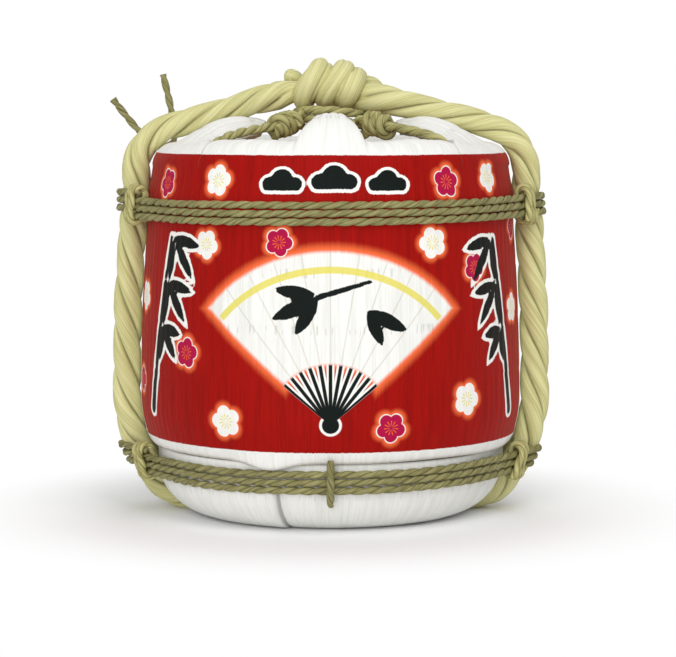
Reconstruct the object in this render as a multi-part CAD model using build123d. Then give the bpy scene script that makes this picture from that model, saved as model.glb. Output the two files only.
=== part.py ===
from build123d import *
import os
from math import acos, cos, degrees, pi, radians, sin, sqrt, tan

os.makedirs("parts", exist_ok=True)

# Cask: straight cedar staves round two board heads (mm, +Z up, front faces -Y, floor at z = 0)
cask_base_z = 11.2
cask_height = 82.0
cask_base_radius = 43.0
cask_top_radius = 42.4
stave_count = 16
stave_thickness = 4.5
stave_gap = 0.08
chime_bevel = 1.2
head_thickness = 4.5
croze_depth = 1.4
croze_clearance = 0.08
bottom_recess = 3.0
lid_recess = 4.0
head_board_count = 3
board_gap = 0.06
dowel_radius = 0.9
dowel_length = 8.0
dowel_spread = 34.0
dowel_clearance = 0.06

# Hoops: split bamboo, one near each end and two at the waist, placed as shares of the cask's height
hoop_thickness = 2.0
hoop_width = 6.0
hoop_clearance = 0.03
hoop_shares = {"foot": 0.126, "lower_waist": 0.39, "upper_waist": 0.634, "mouth": 0.884}

# Bung: tapered plug in the middle lid board, behind the knot
bung_y = 21.0
bung_radius = 3.9
bung_taper = 0.7
bung_stand = 4.5
bung_below = 0.8
bung_clearance = 0.08

# Straw mats: a body mat down to the hem, a bottom mat folded under the base
mat_thickness = 2.4
mat_slack = 0.35
belly_slack = 2.85
belly_rise = 19.8
hem_share = 0.0878
hem_gap = 0.3
rim_rise = 5.4
rim_crest_inset = 5.8
roll_angle = 78.0
seat_gap = 0.15
mouth_radius = 28.0
flap_tip_x = 17.0
flap_tip_rise = 10.0
flap_root_lift = 1.2
flap_tip_width = 17.0
flap_root_x = 60.0
flap_root_width = 80.0
tongue_width = 15.0
tongue_rise = 12.2
foot_radius = 31.0
foot_mouth_radius = 5.0
foot_trim = 0.3
pleat_count = 14
pleat_depth = 1.4
pleat_width = 2.2

# Carrying rope: one thick rope under the base, up both sides and tied on top
rope_radius = 3.7
rope_clearance = 0.25
rope_flat = 0.5
knot_rise = 17.6
knot_x = -1.5
knot_quarter = 5.2
lane_gap = 0.75
side_shares = [0.912, 0.73, 0.52, 0.36, 0.27, 0.2, 0.14]

# Thin cord: two rings round mat and rope, their binders, the top lacing and the loose ends
cord_radius = 0.8
turn_gap = 0.42
cord_clearance = 0.2
upper_ring_drop = 11.9
lower_ring_rise = 3.0
ring_turns = 3
upper_ease = 0.3
lower_ease = 1.0
binder_turns = 2
binder_at = 0.65
binder_ease = 0.25
lacing_radius = 1.0
lacing_gap = 0.45
hub_radius = 9.0
hub_rise = 6.1
hub_turns = 2
spoke_lift = 2.0
spoke_outer = 41.0
wrap_at = 17.4
wrap_turns = 3
slit_angle = 45.0
tail_spread = 17.6
tail_height = 22.0
tail_y = 13.5

# Values that follow from the sizes above
cask_top_z = cask_base_z + cask_height
rim_z = cask_top_z + rim_rise
lid_top_z = cask_top_z - lid_recess
turn_pitch = 2 * cord_radius + turn_gap
belly_z = cask_base_z + belly_rise
hem_z = cask_base_z + hem_share * cask_height
upper_ring_z = cask_top_z - upper_ring_drop
lower_ring_z = cask_base_z + lower_ring_rise
hub_z = cask_top_z + hub_rise
knot_z = cask_top_z + knot_rise


def cask_radius(z):
    """Outside radius of the tapered cask at height z."""
    share = (z - cask_base_z) / cask_height
    return cask_base_radius + (cask_top_radius - cask_base_radius) * share


# The mat wall is two arcs in profile that meet upright at the belly, each outside the hoops
shoulder_z = cask_top_z
wrap_thickness = hoop_thickness + mat_slack + mat_thickness
belly_radius = max(cask_base_radius, cask_top_radius) + hoop_thickness + mat_thickness + belly_slack


def upright_arc(end_radius, end_z):
    """Radius of the arc that leaves the belly upright and passes through a point of the profile."""
    inset, rise = belly_radius - end_radius, end_z - belly_z
    return (inset**2 + rise**2) / (2 * inset)


low_arc = upright_arc(cask_radius(hem_z) + wrap_thickness, hem_z)
high_arc = upright_arc(cask_radius(shoulder_z) + wrap_thickness - mat_slack, shoulder_z)


def mat_radius(z, inset=0.0):
    """Radius of the body mat at height z, or that of the face lying inset within it."""
    arc = low_arc if z < belly_z else high_arc
    return belly_radius - arc + sqrt((arc - inset) ** 2 - (z - belly_z) ** 2)


def save(node, *solids):
    """Write the solids of one node to its STEP file."""
    export_step(Compound(children=list(solids)) if len(solids) > 1 else solids[0], f"parts/{node}.step")


def profile(*points):
    """Face in the XZ plane through (radius, height) points."""
    return make_face(Polyline(*[(r, 0, z) for r, z in points], close=True))


def biarc(p0, t0, p1, t1):
    """Two tangent arcs from p0 along t0 to p1 along t1, or one straight line."""
    v = p1 - p0
    if t0.cross(v.normalized()).length < 1e-6 and t1.cross(v.normalized()).length < 1e-6:
        return [Line(p0, p1)]
    a = 2 * (1 - t0.dot(t1))
    b = 2 * v.dot(t0 + t1)
    reach = v.dot(v) / b if a < 1e-9 else (-b + sqrt(b * b + 4 * a * v.dot(v))) / (2 * a)
    middle = (p0 + t0 * reach + p1 - t1 * reach) * 0.5
    turn = (middle - p0 - t0 * reach).normalized()
    return [TangentArc(p0, middle, tangent=t0), TangentArc(middle, p1, tangent=turn)]


def winding(loops, pitch, frame, lead):
    """Path of a winding: one closed plan loop a turn, with a steady climb along the frame's axis.

    Each loop is a list of (x, y, heading, length so far); both ends run straight for one lead.
    """
    turns = len(loops)
    length = loops[0][-1][3]
    stations = []
    for turn, loop in enumerate(loops):
        stations += [(x, y, h, turn + s / loop[-1][3]) for x, y, h, s in loop[:-1]]
    x, y, h, _ = loops[-1][-1]
    stations.append((x, y, h, turns))
    points, headings = [], []
    for x, y, h, t in stations:
        flat = Vector(cos(h), sin(h), pitch / length).normalized()
        points.append(frame.from_local_coords(Vector(x, y, (t - turns / 2) * pitch)))
        headings.append((frame.from_local_coords(flat) - frame.origin).normalized())
    edges = [Line(points[0] - headings[0] * lead, points[0])]
    for i in range(len(points) - 1):
        edges += biarc(points[i], headings[i], points[i + 1], headings[i + 1])
    edges.append(Line(points[-1], points[-1] + headings[-1] * lead))
    return Wire(edges)


def tube(path, radius):
    """Round solid along a wire."""
    return sweep(Plane(path @ 0, z_dir=path % 0) * Circle(radius), path=path)


def least_gap(path, radius, skip, step=0.6):
    """Smallest clear gap between parts of one tube that lie more than skip apart along it."""
    count = int(path.length / step)
    points = [path @ (i / count) for i in range(count + 1)]
    reach = int(skip / step)
    close = min(
        (points[i] - points[j]).length for i in range(count + 1) for j in range(i + reach, count + 1)
    )
    return close - 2 * radius


def cord_route(points, share=0.45):
    """Straight runs through the points joined by the largest arcs that fit: the path and its bend radii."""
    points = [Vector(*p) for p in points]
    radii = []
    for a, b, c in zip(points, points[1:], points[2:]):
        turn = radians((b - a).get_angle(c - b))
        run = min((b - a).length, (c - b).length)
        radii.append(share * run / tan(turn / 2))
    return FilletPolyline(*points, radius=radii), radii


# Staves: one profile with both crozes and bevelled ends, turned through its share of the circle
stave_angle = 360 / stave_count
gap_angle = degrees(stave_gap / cask_top_radius)


def inner_radius(z):
    """Inside radius of the staves at height z."""
    return cask_radius(z) - stave_thickness


def croze(z):
    """Corner points of a head's groove, from its lower edge at height z."""
    top = z + head_thickness
    corners = [(z, 0), (z, croze_depth), (top, croze_depth), (top, 0)]
    return [(inner_radius(h) + depth, h) for h, depth in corners]


def stave_profile():
    """Section of a stave with both end bevels and the two grooves that hold the heads."""
    return profile(
        (inner_radius(cask_base_z), cask_base_z),
        *croze(cask_base_z + bottom_recess),
        *croze(lid_top_z - head_thickness),
        (inner_radius(cask_top_z), cask_top_z),
        (cask_radius(cask_top_z) - chime_bevel, cask_top_z),
        (cask_radius(cask_top_z), cask_top_z - chime_bevel),
        (cask_radius(cask_base_z), cask_base_z + chime_bevel),
        (cask_radius(cask_base_z) - chime_bevel, cask_base_z),
    )


one_stave = revolve(stave_profile(), Axis.Z, revolution_arc=stave_angle - gap_angle)
for i in range(stave_count):
    save(f"stave_{i + 1:02d}", Rot(0, 0, i * stave_angle + gap_angle / 2) * one_stave)

# Hoops: bands with a crowned outside, their inside on the staves' taper
for name, share in hoop_shares.items():
    z0 = cask_base_z + share * cask_height - hoop_width / 2
    z1 = z0 + hoop_width
    r0 = cask_radius(z0) + hoop_clearance
    r1 = cask_radius(z1) + hoop_clearance
    edge = hoop_thickness * 0.6
    crown_r = (r0 + r1) / 2 + hoop_thickness - hoop_clearance
    crown = ThreePointArc((r0 + edge, 0, z0), (crown_r, 0, (z0 + z1) / 2), (r1 + edge, 0, z1))
    back = Polyline((r1 + edge, 0, z1), (r1, 0, z1), (r0, 0, z0), (r0 + edge, 0, z0))
    save(f"hoop_{name}", revolve(make_face([*crown.edges(), *back.edges()]), Axis.Z))


def head_boards(base_z):
    """Boards and dowels of one head: a disc in the croze, sawn along its seams, pinned across them."""
    low, high = base_z + croze_clearance, base_z + head_thickness - croze_clearance
    reach = [inner_radius(z) + croze_depth - 2 * croze_clearance for z in (low, high)]
    disc = revolve(profile((0, low), (reach[0], low), (reach[1], high), (0, high)), Axis.Z)
    width = 2 * reach[0] / head_board_count
    middle = (low + high) / 2
    pins, holes = [], []
    for seam in range(1, head_board_count):
        for side in (-1, 1):
            spot = Pos(-reach[0] + seam * width, side * dowel_spread / 2, middle) * Rot(0, 90, 0)
            pins.append(spot * Cylinder(dowel_radius, dowel_length))
            bore = dowel_length + 2 * dowel_clearance
            holes.append(spot * Cylinder(dowel_radius + dowel_clearance, bore))
    boards = []
    for i in range(head_board_count):
        saw = Pos(-reach[0] + (i + 0.5) * width, 0, middle)
        margin = width if i in (0, head_board_count - 1) else 0
        saw = Pos((i > 0) * margin / 2 - (i == 0) * margin / 2, 0, 0) * saw
        board = disc & saw * Box(width + margin - board_gap, 4 * reach[0], 4 * head_thickness)
        for hole in holes:
            board -= hole
        boards.append(board)
    return boards, pins


board_sides = ["left", "middle", "right"]
bottom_boards, bottom_pins = head_boards(cask_base_z + bottom_recess)
for side, board in zip(board_sides, bottom_boards):
    save(f"bottom_board_{side}", board.solid())
save("bottom_dowels", *[p.solid() for p in bottom_pins])

# Lid: the middle board takes the tapered bung
lid_boards, lid_pins = head_boards(lid_top_z - head_thickness)
bung_base_z = lid_top_z - head_thickness - bung_below
bung_top_z = lid_top_z + bung_stand
bung_slope = bung_taper / (bung_top_z - bung_base_z)


def bung_at(z, grow):
    """Radius of the bung, or of its hole, at height z."""
    return bung_radius - (bung_top_z - z) * bung_slope + grow


def bung_cone(z0, z1, grow, edge=0.0):
    """Cone of the bung between two heights, its top edge bevelled."""
    side = [(bung_at(z0, grow), z0), (bung_at(z1 - edge, grow), z1 - edge)]
    face = profile((0, z0), *side, (bung_at(z1, grow) - edge, z1), (0, z1))
    return Pos(0, bung_y, 0) * revolve(face, Axis.Z)


lid_hole = bung_cone(bung_base_z - 1, bung_top_z + 1, bung_clearance, 0.01)
for side, board in zip(board_sides, lid_boards):
    save(f"lid_board_{side}", (board - lid_hole).solid() if side == "middle" else board.solid())
save("lid_dowels", *[p.solid() for p in lid_pins])
save("bung", bung_cone(bung_base_z, bung_top_z, 0.0, 0.6).solid())

# Carrying rope: the route in points chosen by hand; in the knot two parts twist round each other
lane = 2 * rope_radius + lane_gap
half = lane / 2
floor_z = rope_radius - rope_flat


def side_x(z):
    """Distance of the rope's centre from the axis where it lies on the mat wall."""
    return mat_radius(z) + rope_radius + rope_clearance


def in_knot(shares):
    """Knot points from shares: quarter turns along x, half lanes back in y and up in z."""
    return [(knot_x + x * knot_quarter, y * half, knot_z + z * half) for x, y, z in shares]


left_knot = in_knot(
    [(3.0, 1.2, 0.3), (1.6, 1.15, 0.5), (0.4, 1, 1), (-0.6, -1, 1), (-1.55, -1.05, -0.3), (-3, -0.75, -0.45)]
)
right_knot = in_knot(
    [(-2.25, 0.8, 0.5), (-1.3, 1.05, 0), (-0.4, 1, -1), (0.6, -1, -1), (1.5, -1.05, -0.1), (2.9, -0.95, -0.5)]
)
shoulder_x = mat_radius(shoulder_z)
shoulder_run = [
    (-27.5, -2.6, cask_top_z + 12.4),
    (-37.5, -0.8, cask_top_z + 9.8),
    (-shoulder_x + 1.2, 0, cask_top_z + 7.2),
    (-shoulder_x - 4.3, 0, cask_top_z + 2.0),
]
side_rises = [cask_base_z + share * cask_height for share in side_shares]
side_run = [(-side_x(z), 0, z) for z in side_rises]
shoulder_out = cask_radius(hem_z) + mat_thickness + mat_slack
foot_run = [
    (-shoulder_out - 6.0, 0, lower_ring_z + 3.2),
    (-shoulder_out - 2.5, 0, lower_ring_z - 3.4),
    (-shoulder_out + 1.3, 0, floor_z + 2.2),
    (-shoulder_out + 7.2, 0, floor_z),
]


def flip(points):
    """The same points on the other side, left to right."""
    return [(-x, y, z) for x, y, z in points]


left_half = left_knot + shoulder_run + side_run + foot_run
right_half = right_knot + flip(shoulder_run + side_run + foot_run)
under_run = [(-13.0, 0, floor_z + 0.02), (13.0, 0, floor_z + 0.02)]
rope_path, rope_radii = cord_route(left_half + under_run + right_half[::-1])
print("rope bends", [round(r, 1) for r in rope_radii])
rope_gap = least_gap(rope_path, rope_radius, 30)
print("rope length", round(rope_path.length, 1), "gap to itself", round(rope_gap, 2))
rope_tube = tube(rope_path, rope_radius)
rope_section = pi * rope_radius**2
print("rope volume", round(rope_tube.volume), "section by length", round(rope_section * rope_path.length))
floor_block = Pos(0, 0, -50) * Box(300, 300, 100)
save("carrying_rope", (rope_tube - floor_block).solid())

# Body mat: wall, low shoulder and mouth turned in one piece
crest_radius = mat_radius(shoulder_z) - rim_crest_inset
fold_z = cask_top_z + seat_gap
fold_top_z = fold_z + mat_thickness
bend_z = fold_top_z - rim_crest_inset * 0.8


def at(point):
    """Profile point (radius, height) in the XZ plane."""
    return (point[0], 0, point[1])


def wall_arcs(inset):
    """The wall's two arcs from the hem up to the bend, and their end points."""
    stops = [hem_z, (hem_z + belly_z) / 2, belly_z, (belly_z + bend_z) / 2, bend_z]
    points = [(mat_radius(z, inset), z) for z in stops]
    arcs = [ThreePointArc(*[at(p) for p in points[i : i + 3]]) for i in (0, 2)]
    return arcs, points[0], points[-1]


def quarter(low, high, bow):
    """Rounded corner from a point on the wall up and in to a point on the fold."""
    middle = (low[0] + (high[0] - low[0]) * (1 - bow), low[1] + (high[1] - low[1]) * bow)
    return ThreePointArc(at(low), at(middle), at(high))


def mat_profile():
    """Section of the body mat from the hem up the wall, over the staves and in to the mouth."""
    outside, out_hem, out_bend = wall_arcs(0.0)
    inside, in_hem, in_bend = wall_arcs(mat_thickness)
    top = (crest_radius, fold_top_z)
    lip = [(mouth_radius, fold_top_z), (mouth_radius, fold_z), (in_bend[0], fold_z), in_bend]
    fold = Polyline(*[at(p) for p in [top, *lip]])
    hem = Line(at(in_hem), at(out_hem))
    return make_face([*outside, quarter(out_bend, top, 0.7), *fold.edges(), *inside, hem])


mat = revolve(mat_profile(), Axis.Z)

# Front and back rolls: the folded rim stands higher between the slits
roll_low = (mat_radius(bend_z), bend_z)
roll_crest = (crest_radius, rim_z)
roll_lip = [(mouth_radius + 1, fold_top_z + 0.6), (mouth_radius + 1, fold_z + 1), (crest_radius, fold_z + 1)]
roll_back = Polyline(*[at(p) for p in [roll_crest, *roll_lip, roll_low]])
roll_face = make_face([quarter(roll_low, roll_crest, 0.7), *roll_back.edges()])
roll = Rot(0, 0, -90 - roll_angle / 2) * revolve(roll_face, Axis.Z, revolution_arc=roll_angle)
mat += roll
mat += Rot(0, 0, 180) * roll

# Side flaps: sloping leaves that narrow to the tip under the rope
flap_root = (crest_radius, fold_top_z + flap_root_lift)
flap_tip = (flap_tip_x - 4.0, cask_top_z + flap_tip_rise)
flap_face = profile(
    flap_root,
    flap_tip,
    (flap_tip[0], flap_tip[1] - mat_thickness),
    (flap_root[0], flap_root[1] - mat_thickness),
)
flap_ring = revolve(flap_face, Axis.Z)
flap_plan = make_face(
    Polyline(
        (-flap_root_x, -flap_root_width / 2),
        (-flap_tip_x, -flap_tip_width / 2),
        (-flap_tip_x, flap_tip_width / 2),
        (-flap_root_x, flap_root_width / 2),
        close=True,
    )
)
flap_block = extrude(flap_plan, 200)
left_flap = flap_ring & flap_block
mat += left_flap
mat += Rot(0, 0, 180) * left_flap

# Tongues: narrow raised folds at the front and back
tongue_foot = (0, -crest_radius - 1.5, rim_z - 1.6)
tongue_bow = (0, -crest_radius + 4.0, cask_top_z + tongue_rise - 1.6)
tongue_tip = (0, -mouth_radius - 3.0, cask_top_z + tongue_rise)
tongue_root = (0, -mouth_radius, fold_z + 1.8)
tongue_crest = ThreePointArc(tongue_foot, tongue_bow, tongue_tip)
tongue_under = Polyline(tongue_tip, tongue_root, tongue_foot)
tongue_side = make_face([tongue_crest, *tongue_under.edges()])
tongue = extrude(tongue_side, tongue_width / 2, both=True)
crest_edges = [e for e in tongue.edges() if e.geom_type == GeomType.CIRCLE]
tongue = fillet(crest_edges, tongue_width * 0.24)
mat += tongue
mat += Rot(0, 0, 180) * tongue
save("body_mat", mat.solid())

# Bottom mat: a folded bundle under the base with radial pleats and a channel for the rope
wall_top_z = hem_z - hem_gap
wall_low = (shoulder_out, lower_ring_z - 2)
foot_bow = (shoulder_out - 3.3, floor_z + 1.8)
foot_edge = (foot_radius, -foot_trim)
under_z = cask_base_z - mat_slack
bundle_points = [
    foot_edge,
    (foot_mouth_radius, -foot_trim),
    (foot_mouth_radius, under_z),
    (shoulder_out - mat_thickness, under_z),
    (shoulder_out - mat_thickness, wall_top_z),
    (shoulder_out, wall_top_z),
    wall_low,
]
foot_arc = ThreePointArc(at(wall_low), at(foot_bow), at(foot_edge))
bundle_face = make_face([foot_arc, *Polyline(*[at(p) for p in bundle_points]).edges()])
bundle = revolve(bundle_face, Axis.Z)
for i in range(pleat_count):
    groove = Pos(0, -0.9 * foot_radius, 0) * Box(pleat_width, 1.2 * foot_radius, 2 * pleat_depth)
    bundle -= Rot(0, 0, (i + 0.5) * 360 / pleat_count) * groove
bundle -= floor_block
bundle -= tube(rope_path, rope_radius + rope_clearance)
save("bottom_mat", bundle.solid())


def tied_stop(body_radius, rope_x, rope_reach, turned):
    """Place and heading under the front left binder, on the straight run from the rope to the mat."""
    a = turned + acos((body_radius - rope_reach) / rope_x)
    reach = body_radius * (1 - binder_at) + rope_reach * binder_at
    return (reach * cos(a) - rope_x * binder_at, reach * sin(a), a + pi / 2)


def ring_loop(body_radius, start_x, right_x, left_x, rope_reach):
    """Plan of one turn from binder to binder: arcs on the mat and round each rope, straight runs between."""
    first, right, left = [acos((body_radius - rope_reach) / x) for x in (start_x, right_x, left_x)]
    stops = [tied_stop(body_radius, start_x, rope_reach, -pi)]
    for centre, radius, start, end, parts in (
        (0.0, body_radius, -pi + first, -right, 4),
        (right_x, rope_reach, -right, right, 2),
        (0.0, body_radius, right, pi - left, 4),
        (-left_x, rope_reach, pi - left, pi + left, 2),
    ):
        for k in range(parts + 1):
            a = start + (end - start) * k / parts
            stops.append((centre + radius * cos(a), radius * sin(a), a + pi / 2))
    stops.append(tied_stop(body_radius, left_x, rope_reach, pi))
    loop, length = [], 0.0
    for k, (x, y, h) in enumerate(stops):
        if k:
            px, py, ph = stops[k - 1]
            chord = sqrt((x - px) ** 2 + (y - py) ** 2)
            half_turn = abs(h - ph) / 2
            length += chord if half_turn < 1e-6 else chord * half_turn / sin(half_turn)
        loop.append((x, y, h, length))
    return loop


def oval_loop(half_height, radius):
    """Plan of a binder turn: two straight sides and two half circles."""
    side = 2 * half_height
    bend = pi * radius / 2
    marks = [
        (-radius, half_height, -pi / 2, 0.0),
        (-radius, -half_height, -pi / 2, side),
        (0.0, -half_height - radius, 0.0, side + bend),
        (radius, -half_height, pi / 2, side + 2 * bend),
        (radius, half_height, pi / 2, 2 * side + 2 * bend),
        (0.0, half_height + radius, pi, 2 * side + 3 * bend),
        (-radius, half_height, 1.5 * pi, 2 * side + 4 * bend),
    ]
    return marks


def round_loop(radius):
    """Plan of one round turn in four quarters."""
    return [
        (radius * cos(a), radius * sin(a), a + pi / 2, radius * a) for a in (0, pi / 2, pi, 1.5 * pi, 2 * pi)
    ]


def rope_out(z):
    """Distance of the rope's centre from the axis at height z on the side or the foot."""
    run = side_run + foot_run
    for (x0, _, z0), (x1, _, z1) in zip(run, run[1:]):
        if z1 <= z <= z0:
            return -x0 + (x0 - x1) * (z0 - z) / (z0 - z1)


def ring_and_binders(name, height, body_radius, rope_half):
    """One ring of three turns, each following the rope's lean, and the four binders on its straight runs."""
    on_mat = body_radius + cord_radius + cord_clearance
    on_rope = rope_half + cord_radius + cord_clearance
    loops = []
    for turn in range(ring_turns):
        meets = [height + (turn + share - ring_turns / 2) * turn_pitch for share in (-0.05, 0.45, 0.95)]
        loops.append(ring_loop(on_mat, *[rope_out(z) for z in meets], on_rope))
    path = winding(loops, turn_pitch, Plane((0, 0, height)), 2 * cord_radius)
    ring_gap = least_gap(path, cord_radius, 20, 2.0)
    print(name, "ring length", round(path.length, 1), "gap to itself", round(ring_gap, 2))
    save(f"{name}_ring", tube(path, cord_radius).solid())
    oval = oval_loop(turn_pitch * ring_turns / 2, binder_radius)
    rope_x = rope_out(height)
    lean = acos((on_mat - on_rope) / rope_x)
    tilt = binder_at * (rope_out(height + turn_pitch) - rope_out(height - turn_pitch)) / (2 * turn_pitch)
    binders = []
    for side in (-1, 1):
        for face in (-1, 1):
            bx = on_mat * cos(lean) * (1 - binder_at) + (rope_x + on_rope * cos(lean)) * binder_at
            by = (on_mat * (1 - binder_at) + on_rope * binder_at) * sin(lean)
            along = Vector(-sin(lean) * side, cos(lean) * face, 0)
            out = along.cross(Vector(0, 0, 1)) * side * face
            up = Vector(0, 0, 1) + out * tilt
            frame = Plane((bx * side, by * face, height), x_dir=along.cross(up), z_dir=along)
            turns = winding([oval] * binder_turns, turn_pitch, frame, 2 * cord_radius)
            binders.append(tube(turns, cord_radius).solid())
    save(f"{name}_binders", *binders)


binder_radius = 2 * cord_radius + cord_clearance + binder_ease
upper_half = turn_pitch * ring_turns / 2 + cord_radius
upper_body = mat_radius(upper_ring_z - upper_half)
ring_and_binders("upper", upper_ring_z, upper_body, rope_radius + upper_ease)
ring_and_binders("lower", lower_ring_z, shoulder_out, rope_radius + lower_ease)

# Top lacing: hub turns under the knot, a spoke to each slit and a wrap on each spoke
hub_pitch = 2 * lacing_radius + lacing_gap
hub_loops = [round_loop(hub_radius)] * hub_turns
hub_path = winding(hub_loops, hub_pitch, Plane((0, 0, hub_z)), 2 * lacing_radius)
print("hub gap to itself", round(least_gap(hub_path, lacing_radius, 15), 2))
save("lacing_hub", tube(hub_path, lacing_radius).solid())
spokes, wraps = [], []
spoke_outer_z = fold_top_z + lacing_radius + cord_clearance
spoke_inner = hub_radius + lacing_radius + cord_clearance
for k in range(4):
    angle = radians(slit_angle + 90 * k)
    out = Vector(spoke_outer * cos(angle), spoke_outer * sin(angle), spoke_outer_z)
    inn = Vector(spoke_inner * cos(angle), spoke_inner * sin(angle), hub_z + spoke_lift)
    spokes.append(tube(Wire([Line(out, inn)]), lacing_radius).solid())
    along = (inn - out).normalized()
    share = (spoke_outer - wrap_at) / (spoke_outer - spoke_inner)
    frame = Plane(out + (inn - out) * share, z_dir=along)
    wrap_loops = [round_loop(2 * lacing_radius + cord_clearance)] * wrap_turns
    wrap_path = winding(wrap_loops, hub_pitch, frame, lacing_radius)
    wraps.append(tube(wrap_path, lacing_radius).solid())
print("wrap gap to itself", round(least_gap(wrap_path, lacing_radius, 6, 0.3), 2))
save("lacing_spokes", *spokes)
save("lacing_wraps", *wraps)

# Hem loop: one cord out of the mat above the lower ring, over its turns and back in below
loop_face = shoulder_out + 3 * cord_clearance + 3 * cord_radius
loop_reach = turn_pitch * ring_turns / 2 + 2 * cord_radius
loop_top = lower_ring_z + loop_reach - 1.2
loop_low = lower_ring_z - loop_reach + 0.4
loop_mat = mat_radius(loop_top + 1.4) + cord_radius
hem_route = [
    (0, -loop_mat, loop_top + 1.8),
    (0, -loop_mat - 0.9, loop_top - 0.2),
    (0, -loop_face - 0.5, lower_ring_z),
    (0, -loop_face + 0.3, loop_low),
    (0, -shoulder_out - cord_clearance, loop_low - 1.8),
]
hem_path, hem_radii = cord_route(hem_route)
print("hem loop bends", [round(r, 1) for r in hem_radii])
save("hem_loop", tube(hem_path, cord_radius).solid())

# Tie tails: one cord across the left flap behind the rope, its two trimmed ends standing up
tail_shares = [(-0.67, 1, 0.7), (-0.16, 0.98, 0.165), (0.16, 0.985, 0.1), (0.33, 1.02, 0.25), (0.09, 1.11, 1)]
tail_route = [
    (-shoulder_x + x * tail_spread, y * tail_y, cask_top_z + z * tail_height) for x, y, z in tail_shares
]
tail_path, tail_radii = cord_route(tail_route)
print("tail bends", [round(r, 1) for r in tail_radii], "length", round(tail_path.length, 1))
save("tie_tails", tube(tail_path, lacing_radius).solid())
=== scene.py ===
# %% [markdown]
# # A straw-wrapped cask, piece by piece
# The object is a small cedar cask in straw mats, tied with one thick rope and several thin cords.
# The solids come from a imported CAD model, and this lesson dresses them: every soft piece is worked
# out again with numpy, much finer than its solid, in the same place.
# Sizes are in millimetres until a mesh is made, because that is how a cooper would say them.

# %% Load the frame
import bpy
import numpy as np
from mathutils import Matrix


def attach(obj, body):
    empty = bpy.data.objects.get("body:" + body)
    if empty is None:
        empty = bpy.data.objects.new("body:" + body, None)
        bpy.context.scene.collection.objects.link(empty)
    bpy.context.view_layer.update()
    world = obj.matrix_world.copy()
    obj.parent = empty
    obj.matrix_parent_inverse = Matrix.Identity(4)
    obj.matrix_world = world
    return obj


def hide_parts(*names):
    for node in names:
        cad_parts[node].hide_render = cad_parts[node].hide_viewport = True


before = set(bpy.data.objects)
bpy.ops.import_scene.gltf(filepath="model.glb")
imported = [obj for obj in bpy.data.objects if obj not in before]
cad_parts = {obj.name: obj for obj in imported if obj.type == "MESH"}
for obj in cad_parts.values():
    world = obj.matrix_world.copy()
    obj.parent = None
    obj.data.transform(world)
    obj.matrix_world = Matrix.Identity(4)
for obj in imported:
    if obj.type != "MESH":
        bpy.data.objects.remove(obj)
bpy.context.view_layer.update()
MM = 0.001
scene = bpy.context.scene
scene.view_settings.view_transform = "Standard"


def add_object(name, data):
    """New object in the scene, at the origin."""
    made = bpy.data.objects.new(name, data)
    scene.collection.objects.link(made)
    return made


# %% [markdown]
# ## The camera
# The picture was taken from about two thirds of a metre with a long lens, from just above the lid,
# so that the rings look almost straight. A camera is placed by its distance to the cask's axis and
# by where the horizon falls in the frame. The tilt follows from the horizon.

# %% Camera
image_width, image_height = 676, 657
camera_distance, camera_height = 680.0, 110.5
horizon_row, axis_column = 92.0, 331.0
sensor_width, lens = 36.0, 137.0

pixels_per_tangent = lens / sensor_width * image_width
tilt = np.arctan((image_height / 2 - horizon_row) / pixels_per_tangent)
side_step = (image_width / 2 - axis_column) / pixels_per_tangent * camera_distance
camera_data = bpy.data.cameras.new("camera")
camera_data.lens = lens
camera_data.sensor_width = sensor_width
camera_data.clip_start = 0.01
camera = add_object("camera", camera_data)
camera.location = (side_step * MM, -camera_distance * MM, camera_height * MM)
camera.rotation_euler = (np.pi / 2 - tilt, 0, 0)
scene.camera = camera
print("camera tilt in degrees", round(float(np.degrees(tilt)), 2))

# %% [markdown]
# ## Short words for shader maths
# A procedural material is a graph of small sums. Written node by node it fills pages. So the output
# of a node is wrapped in a class of its own, for which plus, minus, times and a few named words
# each add one node. A second class adds the other kinds of node to a tree.


# %% Signals
def math_word(operation, swapped=False):
    """Method that adds one Math node, with its two numbers swapped if asked."""

    def method(self, *others):
        values = (*others, self) if swapped else (self, *others)
        return self.wires.make("Math", 0, *values, operation=operation)

    return method


class Signal:
    """Output of a shader node: sums with it add nodes and give the output of the last one."""

    __array_ufunc__ = None
    __add__ = __radd__ = math_word("ADD")
    __mul__ = __rmul__ = math_word("MULTIPLY")
    __sub__, __rsub__ = math_word("SUBTRACT"), math_word("SUBTRACT", swapped=True)
    __truediv__, __mod__ = math_word("DIVIDE"), math_word("FLOORED_MODULO")
    __abs__, root = math_word("ABSOLUTE"), math_word("SQRT")
    least, most = math_word("MINIMUM"), math_word("MAXIMUM")
    sine, cosine, arctan = math_word("SINE"), math_word("COSINE"), math_word("ARCTAN2")

    def __init__(self, wires, socket):
        self.wires, self.socket = wires, socket

    def clamped(self):
        """The same sum, kept between 0 and 1."""
        self.socket.node.use_clamp = True
        return self

    def span(self, low, high, first, last, kind="LINEAR"):
        """Straight line from first at low to last at high."""
        return self.wires.make("MapRange", 0, self, low, high, first, last, interpolation_type=kind)

    def step(self, low, high):
        """Smooth step: 0 where the signal is below low, 1 above high."""
        return self.span(low, high, 0.0, 1.0, "SMOOTHSTEP")


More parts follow.
